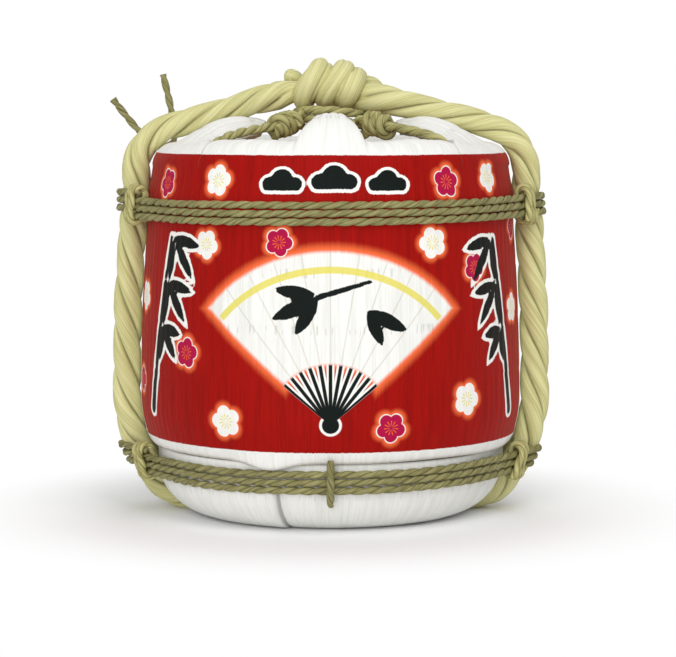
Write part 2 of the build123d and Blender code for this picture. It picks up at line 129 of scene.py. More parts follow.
# %% Shader words
class Wires:
    """Adds nodes to one tree and hands back their outputs as signals."""

    def __init__(self, tree):
        self.tree = tree

    def node(self, kind, **settings):
        made = self.tree.nodes.new("ShaderNode" + kind)
        for name, value in settings.items():
            setattr(made, name, value)
        return made

    def feed(self, socket, value):
        """Join a signal to an input, or write a plain value there. A colour gets full alpha."""
        if isinstance(value, Signal):
            self.tree.links.new(value.socket, socket)
        else:
            socket.default_value = (*value, 1.0) if socket.type == "RGBA" else value

    def dress(self, node, values):
        """Feed several inputs of a node by name."""
        for name, value in values.items():
            self.feed(node.inputs[name], value)

    def make(self, kind, output, *values, **settings):
        """One output of a new node, with the values fed to its first inputs in their order."""
        made = self.node(kind, **settings)
        for socket, value in zip(made.inputs, values):
            self.feed(socket, value)
        return Signal(self, made.outputs[output])

    def attribute(self, name, output="Fac"):
        """Number or vector that a mesh holds at its points."""
        return self.make("Attribute", output, attribute_name=name)

    def scaled(self, place, factors):
        """A place with each coordinate times its own factor."""
        return self.make("VectorMath", 0, place, factors, operation="MULTIPLY")

    def split(self, place):
        """The three coordinates of a place."""
        node = self.make("SeparateXYZ", 0, place).socket.node
        return [Signal(self, socket) for socket in node.outputs]

    def mix(self, share, first, second):
        """Colour that goes from first to second as share goes from 0 to 1."""
        made = self.node("Mix", data_type="RGBA")
        for socket, value in zip(made.inputs[:1] + made.inputs[6:8], (share, first, second)):
            self.feed(socket, value)
        return Signal(self, made.outputs[2])

    def noise(self, place, detail=2.0, roughness=0.5):
        """Cloud noise at scale 1, so the place given sets the size of the clouds."""
        made = self.node("TexNoise")
        values = {"Vector": place, "Scale": 1.0, "Detail": detail, "Roughness": roughness}
        self.dress(made, values)
        return Signal(self, made.outputs[0])


def new_material(name, roughness, specular):
    """Material with one Principled shader: returns it, its wires and the shader."""
    material = bpy.data.materials.new(name)
    material.use_nodes = True
    shader = material.node_tree.nodes["Principled BSDF"]
    wires = Wires(material.node_tree)
    wires.dress(shader, {"Roughness": roughness, "Specular IOR Level": specular})
    return material, wires, shader


def bump(wires, shader, height, depth):
    """Bump node on the shader's normal: depth is in metres."""
    made = wires.node("Bump")
    wires.dress(made, {"Strength": 1.0, "Distance": depth, "Height": height})
    wires.dress(shader, {"Normal": Signal(wires, made.outputs[0])})


# %% [markdown]
# ## From arrays to pieces
# A surface is a grid of points. The quads come from the grid's own numbering, so one function can
# hand any grid to Blender. Each corner of a quad also gets a flat coordinate in centimetres: across
# the straw and along it. Materials read that flat map, and so straw always runs the way it is laid.


# %% Mesh helpers
flat_unit = 10.0


def grid_quads(index, across, along, turn=False):
    """Quads of a numbered grid and the flat coordinates, spread over the grid, of each corner."""
    ways = [(0, 0), (1, 0), (1, 1), (0, 1)]
    ways = ways[::-1] if turn else ways
    nu, nv = index.shape[0] - 1, index.shape[1] - 1
    corners = np.stack(np.broadcast_arrays(index, across, along), -1)
    corners = np.stack([corners[a:a + nu, b:b + nv] for a, b in ways], 2).reshape(-1, 4, 3)
    return corners[..., 0].astype(int), corners[..., 1:]


def new_piece(name, points, quads, flat, material, caps=(), values=None):
    """Mesh object from points in millimetres: rides on the cask and takes the material it is given.
    """
    mesh = bpy.data.meshes.new(name)
    faces = quads.tolist() + list(caps)
    mesh.from_pydata((points * MM).tolist(), [], faces)
    corners = np.zeros((len(mesh.loops), 2))
    corners[: quads.size] = flat.reshape(-1, 2) / flat_unit
    mesh.uv_layers.new(name="flat").data.foreach_set("uv", corners.ravel())
    for label, value in (values or {}).items():
        kind, field = ("FLOAT_VECTOR", "vector") if value.ndim == 2 else ("FLOAT", "value")
        data = mesh.attributes.new(label, kind, "POINT").data
        data.foreach_set(field, value.astype(np.float32).ravel())
    mesh.polygons.foreach_set("use_smooth", np.ones(len(mesh.polygons), bool))
    mesh.materials.append(material)
    mesh.update()
    piece = add_object(name, mesh)
    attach(piece, "cask")
    print(name, "vertices", len(points), "faces", len(faces))
    return piece


def grid_normals(points):
    """Unit normal at each grid point: the cross product of the two grid directions."""
    normal = np.cross(np.gradient(points, axis=0), np.gradient(points, axis=1))
    return normal / np.maximum(np.linalg.norm(normal, axis=-1, keepdims=True), 1e-9)


def bell(value, middle, spread):
    """Bell curve: e to the minus square of the distance from the middle, counted in spreads."""
    return np.exp(-(((value - middle) / spread) ** 2))


def ripple(u, v, waves=7, seed=0):
    """Smooth random relief, about -1 to 1: a sum of sines of random direction and phase."""
    draw = np.random.default_rng(seed)
    angle = draw.uniform(0, 2 * np.pi, waves)
    rate = draw.uniform(0.6, 1.6, waves)
    phase = draw.uniform(0, 2 * np.pi, waves)
    ways = zip(rate * np.cos(angle), rate * np.sin(angle), phase)
    return sum(np.sin(u * a + v * b + p) for a, b, p in ways) / np.sqrt(waves * 2)


def line_steps(line):
    """Length of a line up to each of its points."""
    return np.append(0, np.cumsum(np.linalg.norm(np.diff(line, axis=0), axis=1)))


# %% [markdown]
# ## Floor and light
# The floor is a pale sheet that curves up far behind. Close to the cask it is an honest matt white,
# so that it takes the shadow. Further out it glows white where it is seen, straight or mirrored,
# which hides where floor and backdrop meet. Three large soft lamps stand high at the right, low in
# front and high behind, and the sky fills the rest.

# %% Floor
floor_reach, floor_rows, floor_bend, floor_rise = 2.4, 41, 1.2, 1.4
shadow_near, shadow_far = 0.055, 0.105
floor_white = 0.93

rows = np.linspace(-floor_reach, floor_reach, floor_rows)
floor_x, floor_y = np.meshgrid(rows, rows, indexing="ij")
floor_z = np.clip(floor_y - floor_bend, 0, None) ** 2 * floor_rise
floor_points = np.stack([floor_x, floor_y, floor_z], -1).reshape(-1, 3)
corner = np.arange(floor_rows**2).reshape(floor_rows, floor_rows)
floor_quads, _ = grid_quads(corner, floor_x, floor_y)
floor_mesh = bpy.data.meshes.new("floor")
floor_mesh.from_pydata(floor_points.tolist(), [], floor_quads.tolist())
floor = add_object("floor", floor_mesh)


def seen_by(wires, *rays):
    """1 for light on one of the named kinds of ray, else 0."""
    seen = wires.make("LightPath", rays[0])
    for ray in rays[1:]:
        seen = seen.most(wires.make("LightPath", ray))
    return seen


floor_material, wires, shader = new_material("pale_floor", 1.0, 0.0)
wires.dress(shader, {"Base Color": (floor_white,) * 3})
place = wires.make("TexCoord", "Object")
far = wires.make("VectorMath", "Value", place, operation="LENGTH").step(shadow_near, shadow_far)
seen = seen_by(wires, "Is Camera Ray", "Is Glossy Ray", "Is Transmission Ray")
matt, glow = Signal(wires, shader.outputs[0]), wires.make("Emission", 0)
surface = wires.make("MixShader", 0, far * seen, matt, glow)
wires.dress(wires.tree.nodes["Material Output"], {"Surface": surface})
floor_mesh.materials.append(floor_material)
print("floor points", len(floor_points))

# %% Lamps and sky
sky_light = 0.55
lamp_aim, lamp_size = np.array([0, 0, 0.05]), 0.6
lamps = {
    "key_lamp": ((0.30, -0.60, 0.85), 3.15),
    "front_lamp": ((-0.25, -0.95, 0.35), 4.3),
    "top_lamp": ((0.10, 0.55, 0.85), 1.4),
}

sky = bpy.data.worlds.new("studio")
sky.use_nodes = True
scene.world = sky
wires = Wires(sky.node_tree)
seen = seen_by(wires, "Is Camera Ray", "Is Transmission Ray")
strength = seen.span(0.0, 1.0, sky_light, 1.0)
wires.dress(sky.node_tree.nodes["Background"], {"Color": (1, 1, 1), "Strength": strength})
for name, (place, power) in lamps.items():
    data = bpy.data.lights.new(name, "AREA")
    data.size = lamp_size
    data.energy = power
    lamp = add_object(name, data)
    lamp.location = place
    away = np.array(place) - lamp_aim
    level = np.hypot(away[0], away[1])
    lamp.rotation_euler = (np.arctan2(level, away[2]), 0, np.arctan2(away[0], -away[1]))
print("lamps", len(lamps))

# %% [markdown]
# ## How straw looks
# Straw is a bundle of thin blades: light lines and dark lines that run a long way and change fast
# sideways. Noise on a stretched flat map gives that. One group serves the mats, the rope and the
# cords, each with its own blade width.


# %% Straw group
bundle_across, bundle_along, bundle_shift = 0.23, 0.6, 4.7
blade_share, bundle_share = 0.6, 0.4
dark_straw, light_straw = 0.36, 0.60


def make_straw_group():
    """Two stretched noises, blades and bundles, as a height and a shade between 0 and 1."""
    group = bpy.data.node_groups.new("straw", "ShaderNodeTree")
    kinds = {"Flat": "NodeSocketVector"}
    for way, labels in (("INPUT", ("Flat", "Blade", "Length")), ("OUTPUT", ("Height", "Shade"))):
        for label in labels:
            kind = kinds.get(label, "NodeSocketFloat")
            group.interface.new_socket(label, in_out=way, socket_type=kind)
    wires = Wires(group)
    entry, leave = group.nodes.new("NodeGroupInput"), group.nodes.new("NodeGroupOutput")
    flat, blade, length = (Signal(wires, socket) for socket in entry.outputs[:3])
    u, v, _ = wires.split(flat)
    blade_u, blade_v = u / blade, v / length
    blades = wires.noise(wires.make("CombineXYZ", 0, blade_u, blade_v, 0.0), 3.0, 0.6)
    bundle_u, bundle_v = blade_u * bundle_across, blade_v * bundle_along
    bundles = wires.noise(wires.make("CombineXYZ", 0, bundle_u, bundle_v, bundle_shift))
    height = blades * blade_share + bundles * bundle_share
    wires.dress(leave, {"Height": height, "Shade": height.step(dark_straw, light_straw)})
    return group


straw_group = make_straw_group()


def straw(wires, blade, length):
    """Place the straw group on the piece's flat map: blade and length are in millimetres."""
    flat = wires.scaled(wires.make("UVMap", 0, uv_map="flat"), (flat_unit,) * 3)
    made = wires.node("Group", node_tree=straw_group)
    wires.dress(made, {"Flat": flat, "Blade": blade, "Length": length})
    return flat, Signal(wires, made.outputs["Height"]), Signal(wires, made.outputs["Shade"])


patch_stretch = (0.12, 0.03, 0.0)
# Painted shade in the creases between strands: where the between attribute nears 1, the colour is
# mixed toward a darker copy of the deep colour.
crease_shade_from, crease_shade_share, crease_shade_dark = 0.84, 0.7, 0.3


def rope_material(name, pale, deep, blade, length, depth):
    """Dry straw rope: pale blades, deeper colour between them, and painted shade darkening the
    creases between strands.
    """
    material, wires, shader = new_material(name, 0.62, 0.25)
    flat, height, shade = straw(wires, blade, length)
    patch = wires.noise(wires.scaled(flat, patch_stretch))
    tone = (shade * patch.span(0.3, 0.7, 0.75, 1.1)).clamped()
    # Painted shade: the colour darkens in the creases between strands.
    crease = wires.attribute("between").step(crease_shade_from, 1.0) * crease_shade_share
    crease_shade_colour = tuple(crease_shade_dark * part for part in deep)
    wires.dress(shader, {
        "Base Color": wires.mix(crease, wires.mix(tone, deep, pale), crease_shade_colour),
        "Roughness": shade.span(0.0, 1.0, 0.75, 0.52),
    })
    bump(wires, shader, height, depth)
    return material


rope_straw, cord_straw, lacing_straw, binder_straw = (rope_material(*finish) for finish in (
    ("pale_rope_straw", (0.69, 0.66, 0.335), (0.48, 0.45, 0.185), 0.30, 18.0, 0.00008),
    ("olive_cord_straw", (0.34, 0.315, 0.135), (0.14, 0.125, 0.042), 0.22, 7.0, 0.00014),
    ("lacing_straw", (0.50, 0.465, 0.20), (0.22, 0.20, 0.07), 0.26, 9.0, 0.00015),
    ("binder_straw", (0.58, 0.54, 0.235), (0.26, 0.235, 0.085), 0.26, 9.0, 0.00015),
))
print("straw materials", len(bpy.data.materials) - 1)

# %% [markdown]
# ## Cask sizes
# The mats and ropes lie on the cask, so the cask's sizes come first. They repeat the CAD model's
# own driving sizes: a slightly tapered cask, hoops on it, a mat wall of two arcs that meet at the
# belly.

# %% Sizes of the cask and the mat wall
cask_base_z, cask_height = 11.2, 82.0
cask_base_radius, cask_top_radius = 43.0, 42.4
hoop_thickness, mat_thickness, mat_slack, belly_slack = 2.0, 2.4, 0.35, 2.85
cask_top_z = cask_base_z + cask_height
hem_z, belly_z = cask_base_z + 7.2, cask_base_z + 19.8
rim_z, bend_z = cask_top_z + 5.4, cask_top_z - 2.1
crest_inset, mouth_radius, foot_radius = 5.8, 28.0, 31.0
rope_radius, rope_clearance, rope_flat = 3.7, 0.25, 0.5
knot_x, knot_z = -1.5, cask_top_z + 17.6
cord_radius, turn_pitch, cord_clearance = 0.8, 2.02, 0.2
upper_ring_z, lower_ring_z, ring_turns = cask_top_z - 11.9, cask_base_z + 3.0, 3
lacing_radius, hub_radius, hub_turns, hub_pitch = 1.0, 9.0, 2, 2.45
hub_z = cask_top_z + 6.1
wrap = hoop_thickness + mat_thickness
belly_radius = max(cask_base_radius, cask_top_radius) + wrap + belly_slack


def cask_radius(z):
    """Outside radius of the cask: a straight taper from base to top."""
    return cask_base_radius + (cask_top_radius - cask_base_radius) * (z - cask_base_z) / cask_height


def upright_arc(end_radius, end_z):
    """Arc that leaves the belly upright and reaches a point: (inset^2 + rise^2) / 2 inset."""
    inset, rise = belly_radius - end_radius, end_z - belly_z
    return (inset**2 + rise**2) / (2 * inset)


low_arc = upright_arc(cask_radius(hem_z) + wrap + mat_slack, hem_z)
high_arc = upright_arc(cask_radius(cask_top_z) + wrap, cask_top_z)


def mat_radius(z):
    """Outside radius of the mat wall: one arc below the belly, a flatter one above it."""
    arc = np.where(np.less(z, belly_z), low_arc, high_arc)
    return belly_radius - arc + np.sqrt(arc**2 - (z - belly_z) ** 2)


shoulder_x = mat_radius(cask_top_z)
crest_radius = shoulder_x - crest_inset
bottom_radius = cask_radius(hem_z) + mat_thickness + mat_slack
mat_sizes = [round(float(mat_radius(z)), 2) for z in (hem_z, belly_z, cask_top_z)]
print("mat radius at hem, belly, top", mat_sizes)

# %% [markdown]
# ## Rope and cord
# A laid rope is strands turned round each other. Cut across, three strands look like a clover leaf,
# and along the rope the leaf turns steadily. So a rope is one profile carried along a line and
# turned as it goes. The line of the thick rope is a smooth spline with the route's points as its
# control points.


# %% Lines for ropes
def smooth_line(points, step):
    """Points at an even step along a smooth spline with the route's points as control points."""
    data = bpy.data.curves.new("route", "CURVE")
    data.dimensions = "3D"
    data.resolution_u = 24
    spline = data.splines.new("NURBS")
    spline.points.add(len(points) - 1)
    spline.points.foreach_set("co", np.c_[np.array(points) * MM, np.ones(len(points))].ravel())
    spline.order_u = 3
    spline.use_endpoint_u = True
    route = add_object("route", data)
    bpy.context.view_layer.update()
    shown = route.evaluated_get(bpy.context.evaluated_depsgraph_get())
    mesh = bpy.data.meshes.new_from_object(shown)
    line = np.zeros(len(mesh.vertices) * 3)
    mesh.vertices.foreach_get("co", line)
    bpy.data.objects.remove(route)
    bpy.data.meshes.remove(mesh)
    return even_line(line.reshape(-1, 3) / MM, step)


def even_line(line, step):
    """The same line with points at an even step."""
    apart = np.append(True, np.linalg.norm(np.diff(line, axis=0), axis=1) > 1e-6)
    line, length = line[apart], line_steps(line)[apart]
    count = max(4, int(round(length[-1] / step)))
    stops = np.linspace(0, length[-1], count + 1)
    return np.stack([np.interp(stops, length, line[:, k]) for k in range(3)], 1)


def carried_frames(line):
    """Two directions across the line at each point, carried from point to point without twist."""
    tangent = np.gradient(line, axis=0)
    tangent /= np.linalg.norm(tangent, axis=1, keepdims=True)
    normal = np.zeros_like(tangent)
    normal[0] = np.cross(tangent[0], np.eye(3)[np.argmin(np.abs(tangent[0]))])
    normal[0] /= np.linalg.norm(normal[0])
    for i in range(1, len(line)):
        flat = normal[i - 1] - tangent[i] * (normal[i - 1] @ tangent[i])
        normal[i] = flat / np.linalg.norm(flat)
    return normal, np.cross(tangent, normal)


# %% Laid rope
strand_waves, blade_waves = np.array([0.9, 0.37, 0.19]), np.array([0.45, 0.8, 1.7])
strand_swell, next_cord = 0.04, 40.0


def laid_surface(line, radius, strands, pitch, around, crease, sharp, fibre, seed):
    """Grid of a laid rope: a clover profile of strands, turned left-handed once per pitch.

    From a strand's middle to its edge the profile falls by crease times the share of the way to the
    power sharp. Radius, pitch and crease may be one number or one for each point of the line.
    """
    draw = np.random.default_rng(seed)
    normal, binormal = carried_frames(line)
    length = line_steps(line)
    sizes = np.broadcast_to(radius, len(line))
    creases = np.broadcast_to(crease, len(line))[:, None]
    largest = sizes.max()
    spread = 2 * np.pi * np.arange(around) / around
    sector = 2 * np.pi / strands
    aside = np.abs((spread + sector / 2) % sector - sector / 2) / (sector / 2)
    strand = np.floor((spread + sector / 2) / sector).astype(int) % strands

    def waves(rates, count):
        """Slow waves along the rope, with their own phases for each of count places round it."""
        phase = draw.uniform(0, 2 * np.pi, (count, 3))
        return np.sin(length[:, None, None] * rates / largest + phase).mean(-1)

    breath = waves(strand_waves, strands)[:, strand]
    blades = waves(blade_waves, around)
    profile = 1 - creases * aside**sharp
    size = sizes[:, None] * (profile * (1 + strand_swell * breath) + fibre / largest * blades)
    turn = spread - 2 * np.pi * np.cumsum(np.gradient(length) / pitch)[:, None]
    side = normal[:, None] * np.cos(turn)[..., None] + binormal[:, None] * np.sin(turn)[..., None]
    surface = line[:, None] + side * size[..., None]
    # The last value, between, is 1 at the creases between strands, where the rope material paints
    # shade.
    return surface, length, spread * largest, aside * creases / creases.max()


def laid_piece(name, node, lines, material, slot, seed, low=None, **shape):
    """Piece of one or more laid ropes, cut flat at the height low, that stands for a node."""
    parts, caps, base = [], [], 0
    for k, line in enumerate(lines):
        surface, length, girth, between = laid_surface(line, seed=seed + k, **shape)
        if low is not None:
            surface[..., 2] = np.maximum(surface[..., 2], low)
        index = base + np.arange(between.size).reshape(between.shape)
        caps += [index[0, ::-1].tolist(), index[-1].tolist()]
        base += index.size
        index = np.concatenate([index, index[:, :1]], 1)
        across = np.append(girth, girth[-1] + girth[1]) + next_cord * k
        quads = grid_quads(index, across, length[:, None], turn=True)
        parts.append((surface.reshape(-1, 3), *quads, between.ravel()))
    points, quads, flat, between = (np.concatenate(part) for part in zip(*parts))
    piece = new_piece(
        name, points, quads, flat, material, caps=caps, values={"between": between}
    )
    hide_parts(node)


# %% [markdown]
# ## The carrying rope
# One rope goes under the base, up both sides and is tied on top. Below the knot the route repeats
# the CAD model's points. In the knot the right part goes round the left one in three tight bands,
# and both ends stop short. Where the rope is squeezed it is thinner: at the two rings, which also
# draw it in a little, and in the knot, where it is less twisted too.

# %% Route of the carrying rope
low, high = -1.9, 5.4
floor_rope_z = rope_radius - rope_flat
rope_step = 0.6
side_shares = np.array([0.912, 0.73, 0.52, 0.36, 0.27, 0.2, 0.14])


def in_knot(places):
    """Knot points in millimetres from the knot's middle: along x, back in y and up in z."""
    return np.array(places) + (knot_x, 0, knot_z)


left_knot = in_knot([
    (15.2, 4.6, 0.1), (9.0, 3.2, 1.6), (-0.5, 0.4, 1.6), (-9.0, -2.0, -0.3), (-15.6, -3.1, -1.8),
])
right_knot = in_knot([
    (-9.9, 0.4, 4.3), (-8.0, 4.4, 3.4), (-4.4, 5.0, low),
    (-6.5, -5.6, low), (-1.5, -5.6, high), (-0.8, 5.0, high), (1.6, 5.0, low),
    (-1.1, -4.9, low), (5.2, -5.2, high), (4.6, 5.0, high), (4.3, 5.0, low),
    (5.3, -5.4, low), (7.6, -5.4, high - 2.6), (8.4, 4.6, high - 1.8), (7.6, 4.4, low),
    (9.0, -2.2, -1.6), (15.1, -3.9, -2.0),
])
side_z = cask_base_z + side_shares * cask_height
side_x = mat_radius(side_z) + rope_radius + rope_clearance
left_side = np.concatenate([
    [(-27.5, -2.6, cask_top_z + 12.4), (-37.5, -0.8, cask_top_z + 9.8)],
    [(-shoulder_x + 1.2, 0, cask_top_z + 7.2), (-shoulder_x - 4.3, 0, cask_top_z + 2.0)],
    np.stack([-side_x, 0 * side_x, side_z], 1),
    [(-bottom_radius - 6.0, 0, lower_ring_z + 3.2), (-bottom_radius - 2.5, 0, lower_ring_z - 3.4)],
    [(-bottom_radius + 1.3, 0, floor_rope_z + 2.2), (-bottom_radius + 7.2, 0, floor_rope_z)],
    [(-13.0, 0, floor_rope_z)],
])
right_side = left_side * (-1, 1, 1)
route = np.concatenate([left_knot, left_side, right_side[::-1], right_knot[::-1]])
rope_line = smooth_line(route, rope_step)
print("rope points", len(rope_line))

# %% Carrying rope
rope_look, rope_pinch, rope_slim, rope_end, blunt, floor_gap = 3.85, 0.12, 0.10, 3.2, 0.97, 0.02
rope_pitch, rope_crease, tied_pitch, tied_crease = 36.0, 0.37, 0.75, 0.25
ring_grip, side_from, slim_x, slim_z, slim_blend, band_lead = 3.4, 40.0, 14.0, 91.0, 10.0, 7.0
core_steps, core_sizes = [0, 7, 11, 21, 29], [0.80, 0.80, 0.50, 0.50, 1.0]
band_steps, band_sizes = [0, 6, 14, 36, 46], [0.62, 0.62, 0.84, 0.84, 0.76, 0.80, 1.0]
knot_entry = (knot_x + 12.0, -3.0, knot_z - 1.8)

out, up = np.abs(rope_line[:, 0]), rope_line[:, 2]
grips = [bell(up, ring_z, ring_grip) for ring_z in (upper_ring_z, lower_ring_z)]
at_ring = np.maximum(*grips) * (out > side_from)
on_top = np.clip((up - slim_z) / slim_blend, 0, 1) * np.clip((out - slim_x) / slim_blend, 0, 1)
rope_line[:, 0] -= np.sign(rope_line[:, 0]) * rope_look * rope_pinch * at_ring
from_first = np.arange(len(rope_line)) * rope_step
from_last = from_first[::-1]
from_end = np.minimum(from_first, from_last)
dome = np.sqrt(1 - np.clip(1 - from_end / rope_end, 0, blunt) ** 2)
core = np.interp(from_first, core_steps, core_sizes)
half = len(rope_line) // 2
entry = half + np.argmin(np.linalg.norm(rope_line[half:] - knot_entry, axis=1))
band_steps += [from_last[entry] - band_lead, from_last[entry]]
bands = np.interp(from_last, band_steps, band_sizes)
tied = np.clip(4 * (1 - np.minimum(core, bands)), 0, 1)
rope_sizes = rope_look * (1 - rope_pinch * at_ring) * (1 - rope_slim * on_top) * core * bands * dome
laid_piece(
    "carrying_rope_straw", "carrying_rope", [rope_line], rope_straw, "straw_rope", 11,
    low=floor_gap, radius=rope_sizes, strands=3, pitch=rope_pitch / (1 - tied_pitch * tied),
    around=72, crease=rope_crease - tied_crease * tied, sharp=3.8, fibre=0.03,
)

# %% [markdown]
# ## Rings and binders
# Thin two-strand cord goes three times round mat and rope, once high and once low. Seen from above
# a ring is the mat's circle and the two ropes' circles with a tight band round all three: arcs
# joined by straight runs. Each straight run is gathered by a binder, two turns of cord over the
# three.


# %% Winding lines
def arc_points(x, y, radius, start, end, step=0.5):
    """Points of an arc in plan, about one step apart."""
    turn = np.linspace(start, end, max(3, int(abs(end - start) * radius / step)))
    return np.stack([x + radius * np.cos(turn), y + radius * np.sin(turn)], 1)


def unit(way):
    """A direction of length 1."""
    return way / np.linalg.norm(way)


def wound(plans, pitch, lead):
    """Plan turns one after another with a steady climb, as (x, y, climb); ends run on straight."""
    turns, climbs = len(plans), []
    for k, plan in enumerate(plans):
        runs = line_steps(plan)
        climbs.append(np.c_[plan, (runs / runs[-1] + k - turns / 2) * pitch][:-1])
    line = np.concatenate([*climbs, [[*plans[-1][-1], turns / 2 * pitch]]])
    first = line[0] - unit(line[1] - line[0]) * lead
    last = line[-1] + unit(line[-1] - line[-2]) * lead
    return np.concatenate([first[None], line, last[None]])


def placed(line, origin, *axes):
    """A local line set in a frame: origin plus each coordinate along its own axis."""
    return np.array(origin) + line @ np.stack(axes)


side_low, side_high = 8.0, 92.0
left_rope = rope_line[(rope_line[:, 0] < -side_from) & (up > side_low) & (up < side_high)]
left_rope = left_rope[np.argsort(left_rope[:, 2])]


def rope_out(z):
    """Distance of the rope's middle from the axis at height z on the side."""
    return np.interp(z, left_rope[:, 2], -left_rope[:, 0])


def tied_place(on_mat, rope_x, on_rope):
    """Place under a binder in plan, a share of the way from mat to rope, and the run's lean."""
    lean = np.arccos((on_mat - on_rope) / rope_x)
    reach = on_mat * (1 - binder_at) + on_rope * binder_at
    return np.array([rope_x * binder_at + reach * np.cos(lean), reach * np.sin(lean)]), lean


def ring_plan(on_mat, start_x, right_x, left_x, on_rope):
    """Plan of one turn from the front left binder: arcs on the mat and one round each rope."""
    (start, first), (_, right), (end, left) = (
        tied_place(on_mat, x, on_rope) for x in (start_x, right_x, left_x)
    )
    return np.concatenate([
        [-start],
        arc_points(0, 0, on_mat, -np.pi + first, -right),
        arc_points(right_x, 0, on_rope, -right, right),
        arc_points(0, 0, on_mat, right, np.pi - left),
        arc_points(-left_x, 0, on_rope, np.pi - left, np.pi + left),
        [-end],
    ])


def ring_lines(height, body, rope_half):
    """Line of one ring, its turns following mat and rope, and lines of its four binders."""
    on_rope = rope_half + ring_lie
    plans = []
    for turn in range(ring_turns):
        level, *meets = (height + (turn + t - ring_turns / 2) * turn_pitch for t in turn_shares)
        plans.append(ring_plan(body(level) + ring_lie, *(rope_out(z) for z in meets), on_rope))
    ring = wound(plans, turn_pitch, 2 * cord_radius) + (0, 0, height)
    tall, wide = turn_pitch * ring_turns / 2 - binder_tuck, 2 * cord_radius + cord_clearance
    oval = np.concatenate([
        arc_points(0, -tall, wide, np.pi, 2 * np.pi, oval_step),
        arc_points(0, tall, wide, 0, np.pi, oval_step),
        [(-wide, -tall)],
    ])
    turns = wound([oval] * binder_turns, turn_pitch, 2 * cord_radius)
    (x, y), lean = tied_place(body(height) + ring_lie, rope_out(height), on_rope)
    tilt = rope_out(height + turn_pitch) - rope_out(height - turn_pitch)
    tilt *= binder_at / (2 * turn_pitch)
    binders = []
    for side, face in ((-1, -1), (-1, 1), (1, -1), (1, 1)):
        along = np.array([-np.sin(lean) * side, np.cos(lean) * face, 0])
        up = unit(np.array([np.cos(lean) * side * tilt, np.sin(lean) * face * tilt, 1.0]))
        binders.append(placed(turns, (x * side, y * face, height), np.cross(along, up), up, along))
    return ring, binders


# %% Rings and binders
binder_at, binder_tuck, ring_lie, low_squeeze = 0.65, 0.3, 0.9, 1.12
binder_turns, turn_shares = 2, (0.5, -0.05, 0.45, 0.95)
ring_step, binder_step, oval_step, ring_sag, sag_length = 0.55, 0.45, 0.3, 0.10, 9.0
pinched = rope_look * (1 - rope_pinch)
cord_shape = dict(radius=1.0, strands=2, pitch=8.4, around=16, crease=0.42, sharp=2.4, fibre=0.03)
rings = {
    "upper": (upper_ring_z, mat_radius, pinched),
    "lower": (lower_ring_z, lambda z: bottom_radius, pinched * low_squeeze),
}
for k, (name, place) in enumerate(rings.items()):
    ring, binders = ring_lines(*place)
    ring = even_line(ring, ring_step)
    steps = np.arange(len(ring)) * ring_step
    ring[:, 2] += ring_sag * ripple(steps / sag_length, 0 * steps, seed=31 + k)
    binders = [even_line(line, binder_step) for line in binders]
    for kind, lines, finish, seed in (
        ("ring_cord", [ring], cord_straw, 40 + k),
        ("binder_cords", binders, binder_straw, 50 + 9 * k),
    ):
        node = f"{name}_ring" if kind == "ring_cord" else f"{name}_binders"
        laid_piece(f"{name}_{kind}", node, lines, finish, "straw_cord", seed, **cord_shape)

# %% [markdown]
# ## Lacing, hem loop and loose ends
# On top the four corners of the mat are laced together: a spoke of cord runs from each slit to a
# hub under the knot, and short wraps tighten each spoke. The hub is drawn up close under the knot
# and leans as the rope above it does. At the front hem one loop of cord holds the lower ring, and
# on the left shoulder two trimmed ends of cord stand up.

# %% Lacing
fold_gap, wrap_count = 0.15, 3
lacing_step, wrap_step, wrap_arc_step = 0.5, 0.4, 0.25
fold_top_z = cask_top_z + fold_gap + mat_thickness
spoke_outer, wrap_at, slit_angle, spoke_points = 41.0, 17.4, 45.0, 60
spoke_inner, spoke_lift, spoke_crown = hub_radius + lacing_radius + cord_clearance, 3.5, 1.6
hub_lift, hub_tilt, spoke_end = 3.5, np.array([-0.107, -0.115]), 0.6
lacing_shape = dict(
    radius=1.25, strands=2, pitch=9.0, around=20, crease=0.42, sharp=2.4, fibre=0.04
)
hub_plan = arc_points(0, 0, hub_radius, 0, 2 * np.pi)
hub = wound([hub_plan] * hub_turns, hub_pitch, 2 * lacing_radius) + (0, 0, hub_z + hub_lift)
hub[:, 2] += hub[:, :2] @ hub_tilt
wrap_plan = arc_points(0, 0, 2 * lacing_radius + cord_clearance, 0, 2 * np.pi, wrap_arc_step)
wrap_turns = wound([wrap_plan] * wrap_count, hub_pitch, lacing_radius)
wrap_share = (spoke_outer - wrap_at) / (spoke_outer - spoke_inner)
share = np.linspace(0, 1, spoke_points)[:, None]
after = np.clip((share - wrap_share) / (1 - wrap_share), 0, 1)
spokes, wraps = [], []
for k in range(4):
    turn = np.radians(slit_angle + 90 * k)
    way = np.array([np.cos(turn), np.sin(turn), 0])
    outer = way * spoke_outer + (0, 0, fold_top_z + lacing_radius + cord_clearance)
    inner = way * spoke_inner + (0, 0, hub_z + spoke_lift)
    line = outer + (inner - outer) * share + (0, 0, spoke_crown) * np.sin(np.pi * np.sqrt(share))
    to_hub = hub_lift + inner[:2] @ hub_tilt + spoke_end - spoke_lift
    spokes.append(even_line(line + (0, 0, to_hub) * after, lacing_step))
    along = unit(inner - outer)
    side = unit(np.cross(along, (0, 0, 1)))
    middle = line[int(round(wrap_share * (spoke_points - 1)))]
    turns = placed(wrap_turns, middle, side, np.cross(along, side), along)
    wraps.append(even_line(turns, wrap_step))
for name, node, lines, seed in (
    ("lacing_hub_cord", "lacing_hub", [even_line(hub, lacing_step)], 71),
    ("lacing_spoke_cords", "lacing_spokes", spokes, 81),
    ("lacing_wrap_cords", "lacing_wraps", wraps, 91),
):
    laid_piece(name, node, lines, lacing_straw, "straw_cord", seed, **lacing_shape)

